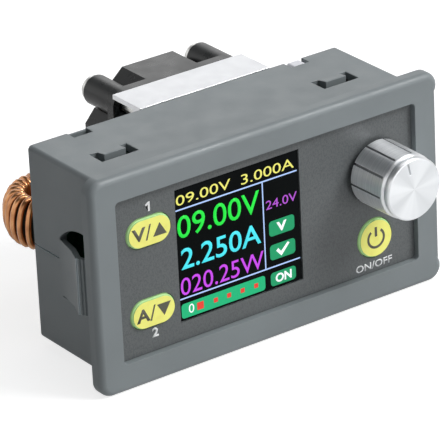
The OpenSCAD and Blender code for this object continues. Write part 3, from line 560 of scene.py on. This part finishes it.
letter_left, letter_w, letter_h, letter_weight = -3.9, 3.0, 2.6, 0.03
slash_left, slash_w, slash_half = -0.95, 0.35, 1.5
arrow_x, arrow_half_w, arrow_h = 2.2, 1.5, 2.5
key_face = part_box("key_voltage")[0].y
for node, letter, up in (("key_voltage", "V", 1), ("key_current", "A", -1)):
    x, z = centre_mm(node)
    letters = mark_mesh([(letter, x + letter_left, z - letter_h / 2, letter_w, letter_h, letter_weight)],
                        key_face, ink_t)
    slash = [(x + slash_left, z - slash_half), (x + slash_left + slash_w, z - slash_half),
             (x + slash_w, z + slash_half), (x, z + slash_half)]
    foot, point = z - up * arrow_h / 2, z + up * arrow_h / 2
    arrow = [(x + arrow_x - arrow_half_w, foot), (x + arrow_x + arrow_half_w, foot), (x + arrow_x, point)]
    joined = bmesh.new()
    joined.from_mesh(letters)
    joined.from_mesh(printed_mesh(outline_faces([slash, arrow]), key_face, ink_t))
    joined.to_mesh(letters)
    joined.free()
    add_piece(node + "_mark", letters, mark_ink, node)


def arc_strip(x, z, inner, outer, start, end):
    """A curved bar as a row of four-sided outlines, from one angle to another in degrees."""
    steps = 28
    angles = [math.radians(start + (end - start) * k / steps) for k in range(steps + 1)]
    blocks = [((inner, a0), (outer, a0), (outer, a1), (inner, a1)) for a0, a1 in zip(angles, angles[1:])]
    return [[(x + r * math.cos(a), z + r * math.sin(a)) for r, a in block] for block in blocks]


ring_r, ring_t, gap = 1.85, 0.5, 38
bar_half, bar_low, bar_high = 0.28, 0.35, 2.3
power_x, power_z = centre_mm("key_power")
power_mark = arc_strip(power_x, power_z, ring_r - ring_t / 2, ring_r + ring_t / 2, 90 + gap, 450 - gap)
power_mark.append(round_box(power_x - bar_half, power_x + bar_half, power_z + bar_low, power_z + bar_high,
                            0.1, 2))
add_piece("key_power_mark", printed_mesh(outline_faces(power_mark), key_face, ink_t), mark_ink, "key_power")


# --- Knob -------------------------------------------------------------------------------------------------
# Turned aluminium, clear anodised. Its side has fine turning lines. Its spun face has bright and dull sectors
# meeting at the axis,
# painted into its colour by angle: a painted highlight like the one radial brushing shows under soft light.
def metal(name, colour, roughness, lines=0, stretch=(1, 1, 1), depth=0.000004, cast=0.08):
    """Plain or brushed metal: `lines` is the number of brush lines in a metre."""
    made, tree, shader, place = new_material(name)
    cloud = noise(tree, place, 220, 4)
    colours = ramp(tree, cloud, [(0.3, shade(colour, 1 - cast)), (0.7, shade(colour, 1 + cast))])
    tree.links.new(colours, shader.inputs["Base Color"])
    smear = noise(tree, place, 500, 3)
    rough = ramp(tree, smear, [(0.3, (roughness * 0.93,) * 3), (0.7, (roughness * 1.07,) * 3)])
    tree.links.new(rough, shader.inputs["Roughness"])
    shader.inputs["Metallic"].default_value = 1
    if lines:
        bump(tree, shader, noise(tree, place, lines, 2, stretch), depth, 0.6)
    return made


def along(tree, place):
    """The three coordinates of a place, as sockets."""
    parts = tree.nodes.new("ShaderNodeSeparateXYZ")
    tree.links.new(place, parts.inputs[0])
    return parts.outputs


def from_axis(tree, place, x, z):
    """How far a place lies across and up from an axis along Y through (x, z)."""
    at = along(tree, place)
    return combine(tree, "SUBTRACT", at["X"], x), combine(tree, "SUBTRACT", at["Z"], z)


def one_way(tree, value, scale, detail):
    """Noise along a single value."""
    line = tree.nodes.new("ShaderNodeTexNoise")
    line.noise_dimensions = "1D"
    line.inputs["Scale"].default_value = scale
    line.inputs["Detail"].default_value = detail
    tree.links.new(value, line.inputs["W"])
    return line.outputs["Fac"]


knob_low, knob_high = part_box("knob")
knob_axis = (knob_low + knob_high) / 2
knob_radius = (knob_high.x - knob_low.x) / 2


def painted_highlight_face(name):
    made, tree, shader, place = new_material(name)
    across, up = from_axis(tree, place, knob_axis.x, knob_axis.z)
    angle = combine(tree, "ARCTAN2", up, across)
    squares = combine(tree, "MULTIPLY_ADD", across, across, combine(tree, "MULTIPLY", up, up))
    far = combine(tree, "SQRT", squares)
    # Painted highlight: bright and dull sectors round the axis, set into the base colour
    highlight_sectors = combine(tree, "COSINE", combine(tree, "MULTIPLY_ADD", angle, 4.0, 0.9))
    drift = one_way(tree, angle, 1.6, 1)
    face_painted_highlight = combine(tree, "MULTIPLY_ADD", highlight_sectors, 0.22, drift)
    colours = ramp(tree, face_painted_highlight, [(0.25, (0.76, 0.78, 0.80)), (0.6, (0.86, 0.88, 0.90)),
                                 (0.85, (0.94, 0.96, 0.98))])
    tree.links.new(colours, shader.inputs["Base Color"])
    shader.inputs["Metallic"].default_value = 1
    shader.inputs["Roughness"].default_value = 0.42
    bump(tree, shader, one_way(tree, far, 9000, 1), 0.000002, 0.5)
    return made


def turned_side(name):
    """Turning lines run round the axis, so its lights are drawn out along it."""
    made, tree, shader, place = new_material(name)
    bands = one_way(tree, along(tree, place)["Y"], 2600, 3)
    colours = ramp(tree, bands, [(0.3, (0.78, 0.80, 0.82)), (0.7, (0.90, 0.91, 0.93))])
    tree.links.new(colours, shader.inputs["Base Color"])
    shader.inputs["Metallic"].default_value = 1
    shader.inputs["Roughness"].default_value = 0.37
    shader.inputs["Anisotropic"].default_value = 0.85
    shader.inputs["Anisotropic Rotation"].default_value = 0.25
    round_it = tree.nodes.new("ShaderNodeTangent")
    round_it.direction_type = "RADIAL"
    round_it.axis = "Y"
    tree.links.new(round_it.outputs[0], shader.inputs["Tangent"])
    return made


knob = dress("knob", turned_side("turned_side"), edge=0.08, smooth=28)
knob_skin, pointer_d, cap_end = 0.0001, 0.0004, 0.0021
pointer_reach, slit_floor, side_skin = 0.84, 0.83, 0.975


def off_axis(point, axis):
    """Distance of a point from an axis along Y."""
    return math.hypot(point.x - axis.x, point.z - axis.z)


paint_faces(knob, painted_highlight_face("painted_highlight_face"), lambda c, n: n.y < -0.9 and c.y < knob_low.y + knob_skin)
pocket = metal("pointer_shade", (0.48, 0.49, 0.51), 0.5)
paint_faces(knob, pocket, lambda c, n: n.y < -0.9 and knob_skin < c.y - knob_low.y < pointer_d
            and off_axis(c, knob_axis) < knob_radius * pointer_reach)
slit_shade = metal("slit_shade", (0.45, 0.45, 0.47), 0.6)
paint_faces(knob, slit_shade, lambda c, n: abs(n.y) < 0.9 and c.y > knob_low.y + cap_end
            and slit_floor < off_axis(c, knob_axis) / knob_radius < side_skin)


# --- Encoder ----------------------------------------------------------------------------------------------
# The shaft that carries the knob, turned from steel and plated, the pressed steel body that is soldered to
# the display board, and the white moulded rotor with the contacts in it.
bright_steel = metal("bright_steel", (0.62, 0.63, 0.65), 0.3, 2500, (1, 0.2, 1))
dress("encoder_shaft", bright_steel, edge=0.12)
dress("encoder_body", metal("pressed_steel", (0.5, 0.51, 0.53), 0.38, 1800, (1, 1, 0.3)), edge=0.12)
white_plastic = moulded_plastic("white_plastic", (0.72, 0.72, 0.69), roughness=0.4, drift=0.03)
dress("encoder_rotor", white_plastic, edge=0.08)


# --- Heat sink --------------------------------------------------------------------------------------------
# A length of extruded aluminium, almost white, with faint drawing lines along its fins. It is screwed to the
# power board, with a grey pad of soft rubber between its base and the transistors.
pale_aluminium = metal("pale_aluminium", (0.80, 0.81, 0.83), 0.42, 1500, (0.06, 1, 1), 0.000003, 0.02)
dress("heat_sink", pale_aluminium, edge=0.12)
dress("thermal_pad", moulded_plastic("grey_pad", (0.45, 0.50, 0.54), roughness=0.7), edge=0)


# --- Fan --------------------------------------------------------------------------------------------------
# A small axial fan that blows on the heat sink: a black moulded frame with four screw tubes, a rotor with
# pitched blades in one moulding, and the brass sleeve that it turns in.
black_plastic = moulded_plastic("black_plastic", (0.029, 0.031, 0.031), roughness=0.3, drift=0.12)
rotor_plastic = moulded_plastic("rotor_plastic", (0.026, 0.027, 0.028), roughness=0.3, drift=0.12)
brass = metal("turned_brass", (0.66, 0.48, 0.18), 0.3, 3000, (1, 0.2, 1))
dress("fan_frame", black_plastic, edge=0.2)
dress("fan_rotor", rotor_plastic, edge=0.15)
dress("fan_bearing", brass, edge=0.05)


# --- Screws and spacers -----------------------------------------------------------------------------------
# Plated steel pan head screws. They hold the fan to the heat sink, the power board to the posts of the case,
# and the heat sink to the board, where turned brass spacers keep it at its height.
screw_steel = metal("screw_steel", (0.70, 0.70, 0.68), 0.28, 1200)
for node in ("fan_screws", "board_screws", "sink_screws"):
    dress(node, screw_steel, edge=0.1, smooth=40)
dress("sink_spacers", brass, edge=0.08)


# --- Choke core -------------------------------------------------------------------------------------------
# A ring of pressed iron powder under a thick matt coating, dark green-grey with a slight orange-peel. It
# stands on edge over the power board, held by its winding.
def core_coat(name):
    made, tree, shader, place = new_material(name)
    cloud = noise(tree, place, 900, 4)
    colours = ramp(tree, cloud, [(0.3, (0.018, 0.022, 0.018)), (0.7, (0.040, 0.045, 0.036))])
    tree.links.new(colours, shader.inputs["Base Color"])
    shader.inputs["Roughness"].default_value = 0.6
    bump(tree, shader, noise(tree, place, 2500, 2), 0.00004, 0.6)
    return made


dress("toroid_core", core_coat("core_coat"), edge=0.1)


# --- Choke winding ----------------------------------------------------------------------------------------
# One thick enamelled copper wire, wound round the ring with its turns packed in the bore and fanned out at
# the rim, where they bulge as thick wire does. A node group sweeps the wire along the whole path.
def enamelled_copper(name):
    made, tree, shader, place = new_material(name)
    cloud = noise(tree, place, 420, 4)
    colours = ramp(tree, cloud, [(0.25, (0.46, 0.175, 0.06)), (0.55, (0.72, 0.325, 0.125)),
                                 (0.8, (0.90, 0.49, 0.22))])
    tree.links.new(colours, shader.inputs["Base Color"])
    shader.inputs["Metallic"].default_value = 0.95
    shader.inputs["Roughness"].default_value = 0.3
    shader.inputs["Coat Weight"].default_value = 0.8
    shader.inputs["Coat Roughness"].default_value = 0.22
    bump(tree, shader, noise(tree, place, 900, 2), 0.000006, 0.3)
    return made


def new_group(name, inputs, result):
    """An empty node group with the inputs named, each with its kind, and one mesh as its result."""
    group = bpy.data.node_groups.new(name, "GeometryNodeTree")
    for label, kind in inputs:
        group.interface.new_socket(label, in_out="INPUT", socket_type="NodeSocket" + kind)
    group.interface.new_socket(result, in_out="OUTPUT", socket_type="NodeSocketGeometry")
    return group, group.nodes.new("NodeGroupInput"), group.nodes.new("NodeGroupOutput")


def wire_group(name):
    """Node group: a wire of the given radius and number of sides along the mesh's edges, shaded smooth."""
    inputs = (("Path", "Geometry"), ("Wire Radius", "Float"), ("Sides", "Int"), ("Material", "Material"))
    group, given, made = new_group(name, inputs, "Wire")
    line = group.nodes.new("GeometryNodeMeshToCurve")
    ring = group.nodes.new("GeometryNodeCurvePrimitiveCircle")
    sweep = group.nodes.new("GeometryNodeCurveToMesh")
    sweep.inputs["Fill Caps"].default_value = True
    soft = group.nodes.new("GeometryNodeSetShadeSmooth")
    coat = group.nodes.new("GeometryNodeSetMaterial")
    link = group.links.new
    link(given.outputs["Path"], line.inputs["Mesh"])
    link(given.outputs["Wire Radius"], ring.inputs["Radius"])
    link(given.outputs["Sides"], ring.inputs["Resolution"])
    link(line.outputs["Curve"], sweep.inputs["Curve"])
    link(ring.outputs["Curve"], sweep.inputs["Profile Curve"])
    link(sweep.outputs["Mesh"], soft.inputs["Geometry"])
    link(soft.outputs["Geometry"], coat.inputs["Geometry"])
    link(given.outputs["Material"], coat.inputs["Material"])
    link(coat.outputs["Geometry"], made.inputs["Wire"])
    return group


def grown(name, mesh, group, values):
    """Runs a node group on a mesh with its inputs set by name, and keeps the result as a plain mesh."""
    piece = bpy.data.objects.new(name, mesh)
    scene.collection.objects.link(piece)
    growth = piece.modifiers.new("growth", "NODES")
    growth.node_group = group
    sockets = {item.name: item.identifier for item in group.interface.items_tree
               if item.item_type == "SOCKET" and item.in_out == "INPUT"}
    for label, value in values.items():
        growth[sockets[label]] = value
    bpy.context.view_layer.update()
    done = bpy.data.meshes.new_from_object(piece.evaluated_get(bpy.context.evaluated_depsgraph_get()))
    piece.modifiers.remove(growth)
    piece.data = done
    return piece


choke_low, choke_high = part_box("toroid_winding")
wire_r, wire_gap = 0.000625, 0.00003
turns, lead_half = 26, math.radians(15)
wound = 2 * math.pi - 2 * lead_half
choke_r = (choke_high.x - choke_low.x) / 2
rim_r = choke_r - wire_r
half_h = (choke_high.z - choke_low.z) / 2 - wire_r
bore_r = (2 * wire_r + wire_gap) * turns / wound
belly, bore_bend, lead_bend, lead_end = 0.0022, 0.0011, 0.0009, 0.00002
middle = Vector(((choke_low.x + choke_high.x) / 2, choke_high.y - choke_r, (choke_low.z + choke_high.z) / 2))


def rim_point(degrees):
    a = math.radians(degrees)
    return rim_r - belly + belly * math.cos(a), half_h * math.sin(a)


def bore_point(degrees, side):
    a = math.radians(degrees)
    return bore_r + bore_bend * (1 + math.cos(a)), side * (half_h - bore_bend) + bore_bend * math.sin(a)


outline = [rim_point(t) for t in range(0, 91, 15)] + [bore_point(t, 1) for t in range(105, 181, 15)]
outline += [bore_point(t, -1) for t in range(180, 256, 15)] + [rim_point(t) for t in range(-90, -14, 15)]
path = []
for i in range(turns * len(outline) + 1):
    r, z = outline[i % len(outline)]
    a = -math.pi / 2 + lead_half + i * wound / (turns * len(outline))
    path.append(middle + Vector((r * math.cos(a), r * math.sin(a), z)))
lead_x = rim_r * math.sin(lead_half)
lead_y = middle.y - rim_r * math.cos(lead_half) - lead_bend
lead_ys = (choke_low.y + lead_end, lead_y)
lead_in, lead_out = ([Vector((middle.x + side * lead_x, y, middle.z)) for y in lead_ys] for side in (1, -1))
path = lead_in + path + lead_out[::-1]
path_mesh = bpy.data.meshes.new("wire_path")
path_mesh.from_pydata(path, [(i, i + 1) for i in range(len(path) - 1)], [])
winding = grown("choke_wire", path_mesh, wire_group("swept_wire"),
                {"Wire Radius": wire_r, "Sides": 10, "Material": enamelled_copper("enamelled_copper")})
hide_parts("toroid_winding")
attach(winding, "housing")


# --- Circuit boards ---------------------------------------------------------------------------------------
# Two glass-fibre boards under green solder mask, with copper tracks that show faintly through it and bare tan
# edges. One carries the display and the keys, the other is screwed to the posts at the back.
def solder_mask(name, colour):
    made, tree, shader, place = new_material(name)
    cells = tree.nodes.new("ShaderNodeTexVoronoi")
    cells.feature = "DISTANCE_TO_EDGE"
    cells.distance = "CHEBYCHEV"
    cells.inputs["Scale"].default_value = 420
    tree.links.new(place, cells.inputs["Vector"])
    tracks = ramp(tree, cells.outputs["Distance"], [(0.06, colour), (0.10, shade(colour, 1.55))])
    tree.links.new(tracks, shader.inputs["Base Color"])
    shader.inputs["Roughness"].default_value = 0.28
    shader.inputs["Coat Weight"].default_value = 0.3
    bump(tree, shader, cells.outputs["Distance"], 0.00002, 0.25)
    return made


board_edge = moulded_plastic("board_edge", (0.36, 0.33, 0.17), roughness=0.7, drift=0.15)
for node in ("display_board", "power_board"):
    board = dress(node, solder_mask(node + "_mask", (0.012, 0.085, 0.040)), edge=0.08)
    paint_faces(board, board_edge, lambda c, n: abs(n.y) < 0.5)


# --- Small parts on the power board -----------------------------------------------------------------------
# Chip resistors and chip capacitors with a solder end on each side. A node group sets one small form on each
# point of a mesh, with its turn and size picked for each point.
def ceramic(name, colour):
    made, tree, shader, place = new_material(name)
    colours = ramp(tree, noise(tree, place, 1500, 3), [(0.3, shade(colour, 0.8)), (0.7, shade(colour, 1.15))])
    tree.links.new(colours, shader.inputs["Base Color"])
    shader.inputs["Roughness"].default_value = 0.45
    return made


def scatter_group(name):
    """Node group: a copy of the form on each point, turned by quarter turns and scaled between two sizes."""
    inputs = (("Points", "Geometry"), ("Form", "Object"), ("Seed", "Int"), ("Smallest", "Float"),
              ("Largest", "Float"), ("Material", "Material"))
    group, given, made = new_group(name, inputs, "Parts")
    form = group.nodes.new("GeometryNodeObjectInfo")
    size = group.nodes.new("FunctionNodeRandomValue")
    quarter = group.nodes.new("FunctionNodeRandomValue")
    quarter.data_type = "INT"
    quarter.inputs[4].default_value = 0
    quarter.inputs[5].default_value = 3
    angle = combine(group, "MULTIPLY", quarter.outputs[2], math.pi / 2)
    about_y = group.nodes.new("ShaderNodeCombineXYZ")
    seat = group.nodes.new("GeometryNodeInstanceOnPoints")
    whole = group.nodes.new("GeometryNodeRealizeInstances")
    coat = group.nodes.new("GeometryNodeSetMaterial")
    link = group.links.new
    link(given.outputs["Form"], form.inputs["Object"])
    link(given.outputs["Seed"], size.inputs["Seed"])
    link(given.outputs["Seed"], quarter.inputs["Seed"])
    link(given.outputs["Smallest"], size.inputs[2])
    link(given.outputs["Largest"], size.inputs[3])
    link(angle, about_y.inputs["Y"])
    link(given.outputs["Points"], seat.inputs["Points"])
    link(form.outputs["Geometry"], seat.inputs["Instance"])
    link(about_y.outputs[0], seat.inputs["Rotation"])
    link(size.outputs[1], seat.inputs["Scale"])
    link(seat.outputs["Instances"], whole.inputs["Geometry"])
    link(whole.outputs["Geometry"], coat.inputs["Geometry"])
    link(given.outputs["Material"], coat.inputs["Material"])
    link(coat.outputs["Geometry"], made.inputs["Parts"])
    return group


def brick_form(name, width, depth, height):
    """A small brick with broken edges that stands on y = 0 and rises along +Y."""
    chamfer = 0.00008
    brick = bmesh.new()
    bmesh.ops.create_cube(brick, size=1)
    for v in brick.verts:
        v.co = Vector((v.co.x * width, (v.co.y + 0.5) * depth, v.co.z * height))
    bmesh.ops.bevel(brick, geom=brick.edges[:], offset=chamfer, segments=1, affect="EDGES")
    mesh = bpy.data.meshes.new(name)
    brick.to_mesh(mesh)
    brick.free()
    form = bpy.data.objects.new(name, mesh)
    scene.collection.objects.link(form)
    return form


def spots(name, places, y):
    """A mesh of loose points at (x, z) places in mm."""
    mesh = bpy.data.meshes.new(name)
    mesh.from_pydata([(x * MM, y, z * MM) for x, z in places], [], [])
    return mesh


seat_depth = 0.00002
board_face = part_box("power_board")[1].y - seat_depth
scatter = scatter_group("set_on_points")
# Clear ground on the board between the larger parts, as (x, z) in mm
chip_places = [(-30.5, 7.4), (-28.3, 5.6), (-30.8, 3.0), (-27.4, 1.8), (-31.0, -2.6), (-28.8, -6.0),
               (-31.2, -8.2), (-15.8, 5.8), (-13.2, 3.6), (-14.6, -6.2), (-12.6, 7.0), (21.6, 11.0),
               (23.4, -9.4), (21.4, -6.2), (31.6, 11.8), (29.4, 11.4), (21.4, 0.4), (-4.4, -15.6),
               (-6.6, -13.4), (13.4, -15.8), (15.6, -13.2), (17.8, -15.6), (11.6, -12.9), (19.6, -12.6)]
chip_form = brick_form("chip_part_form", 0.0016, 0.0006, 0.0008)
solder_form = brick_form("solder_form", 0.0005, 0.00062, 0.00095)
chip_kinds = (("chip_capacitors", 0, 3, (0.30, 0.20, 0.11)), ("chip_resistors", 1, 8, (0.02, 0.02, 0.022)))
for label, start, seed, colour in chip_kinds:
    chips = grown(label, spots(label, chip_places[start::2], board_face), scatter,
                  {"Form": chip_form, "Seed": seed, "Smallest": 0.8, "Largest": 1.15,
                   "Material": ceramic(label, colour)})
    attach(chips, "housing")
half_pitch = 0.62
end_places = [(x + side * half_pitch, z) for x, z in chip_places for side in (-1, 1)]
chip_ends = grown("chip_ends", spots("chip_ends", end_places, board_face), scatter,
                  {"Form": solder_form, "Seed": 1, "Smallest": 0.45, "Largest": 0.6,
                   "Material": metal("solder", (0.62, 0.62, 0.60), 0.35)})
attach(chip_ends, "housing")
bpy.data.objects.remove(chip_form)
bpy.data.objects.remove(solder_form)


# --- Switches, header, chip and display frame -------------------------------------------------------------
# Small black mouldings on the display board, and the white frame that holds the display glass. The chip, the
# transistors and the diode are satin epoxy with a coarser grain, soldered to the boards.
for node in ("stem_voltage", "stem_current", "stem_power", "switch_voltage", "switch_current", "switch_power",
             "board_header"):
    dress(node, black_plastic, edge=0.08)
epoxy = moulded_plastic("epoxy", (0.022, 0.022, 0.024), roughness=0.55, grain=0.00003, drift=0.1)
for node in ("controller_chip", "transistors", "diode"):
    dress(node, epoxy, edge=0.15)
dress("display_frame", white_plastic, edge=0.1)


# --- Fan socket -------------------------------------------------------------------------------------------
# A natural white nylon housing that shows in the right notch of the case, with two brass pins. It stands on
# the power board and takes the plug of the fan's lead.
natural_white = moulded_plastic("natural_white", (0.80, 0.81, 0.86), roughness=0.35, drift=0.03)
dress("fan_socket", natural_white, edge=0.15)
dress("socket_pins", brass, edge=0.04)


# --- Capacitors -------------------------------------------------------------------------------------------
# Aluminium cans that stand on the power board. Each has a shrunk dark blue sleeve with a pale stripe down its
# negative side, and a bare scored end.
def sleeve(name, x, z):
    made, tree, shader, place = new_material(name)
    across, up = from_axis(tree, place, x, z)
    off_stripe = combine(tree, "ABSOLUTE", combine(tree, "ARCTAN2", up, across))
    stripe = ramp(tree, off_stripe, [(0.42, (0.70, 0.72, 0.74)), (0.44, (0.018, 0.028, 0.075))])
    tree.links.new(stripe, shader.inputs["Base Color"])
    shader.inputs["Roughness"].default_value = 0.3
    shader.inputs["Coat Weight"].default_value = 0.2
    bump(tree, shader, noise(tree, place, 900, 2), 0.00002, 0.3)
    return made


def scored_end(name, x, z):
    made, tree, shader, place = new_material(name)
    across, up = (combine(tree, "ABSOLUTE", side) for side in from_axis(tree, place, x, z))
    score = combine(tree, "LESS_THAN", combine(tree, "MINIMUM", across, up), 0.00012)
    colours = ramp(tree, score, [(0.4, (0.72, 0.73, 0.74)), (0.6, (0.25, 0.25, 0.26))])
    tree.links.new(colours, shader.inputs["Base Color"])
    shader.inputs["Metallic"].default_value = 1
    shader.inputs["Roughness"].default_value = 0.35
    return made


sleeve_lip, end_skin = 0.0009, 0.0004
for node in ("capacitor_upper", "capacitor_lower"):
    low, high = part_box(node)
    can = (low + high) / 2
    bare_r = (high.x - low.x) / 2 - sleeve_lip
    capacitor = dress(node, sleeve(node + "_sleeve", can.x, can.z), edge=0)
    paint_faces(capacitor, scored_end(node + "_end", can.x, can.z),
                lambda c, n: n.y > 0.9 and off_axis(c, can) < bare_r and c.y > high.y - end_skin)


# --- Terminal block ---------------------------------------------------------------------------------------
# A green nylon housing for four wires, soldered to the power board, with plated cage clamps in its wire
# entries and slotted screws in its wells.
nylon = moulded_plastic("green_nylon", (0.030, 0.215, 0.085), roughness=0.42, drift=0.08)
dress("terminal_block", nylon, edge=0.15)
dress("terminal_screws", screw_steel, edge=0.08)
dress("wire_clamps", screw_steel, edge=0.05)


# --- Fuse -------------------------------------------------------------------------------------------------
# A clear glass tube with plated end caps, and the thin fuse wire on its axis. It snaps into two spring clips
# on the power board.
def clear_glass(name):
    made, tree, shader, place = new_material(name)
    tint = ramp(tree, noise(tree, place, 200, 2), [(0.3, (0.90, 0.95, 0.95)), (0.7, (0.97, 1.0, 1.0))])
    tree.links.new(tint, shader.inputs["Base Color"])
    shader.inputs["Transmission Weight"].default_value = 1
    shader.inputs["Roughness"].default_value = 0.03
    shader.inputs["IOR"].default_value = 1.1
    return made


fuse_low, fuse_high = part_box("fuse")
fuse_middle = (fuse_low + fuse_high) / 2
cap_l, fuse_wire_r = 0.005, 0.00012
caps_from, caps_to = fuse_low.x + cap_l, fuse_high.x - cap_l
fuse = dress("fuse", clear_glass("fuse_glass"), edge=0)
cap_metal = metal("fuse_cap", (0.70, 0.70, 0.68), 0.22)
paint_faces(fuse, cap_metal, lambda c, n: not caps_from <= c.x <= caps_to)
wire_mesh = bpy.data.meshes.new("fuse_wire_path")
wire_mesh.from_pydata([(x, fuse_middle.y, fuse_middle.z) for x in (caps_from, caps_to)], [(0, 1)], [])
fuse_wire = grown("fuse_wire", wire_mesh, bpy.data.node_groups["swept_wire"],
                  {"Wire Radius": fuse_wire_r, "Sides": 8, "Material": cap_metal})
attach(fuse_wire, "housing")
dress("fuse_clips", screw_steel, edge=0.04)


# --- Current shunt ----------------------------------------------------------------------------------------
# A thick bent link of bare manganin wire, brown-gold and slightly tarnished, with both feet soldered into the
# power board.
dress("shunt", metal("manganin", (0.52, 0.34, 0.17), 0.4, 900), edge=0)
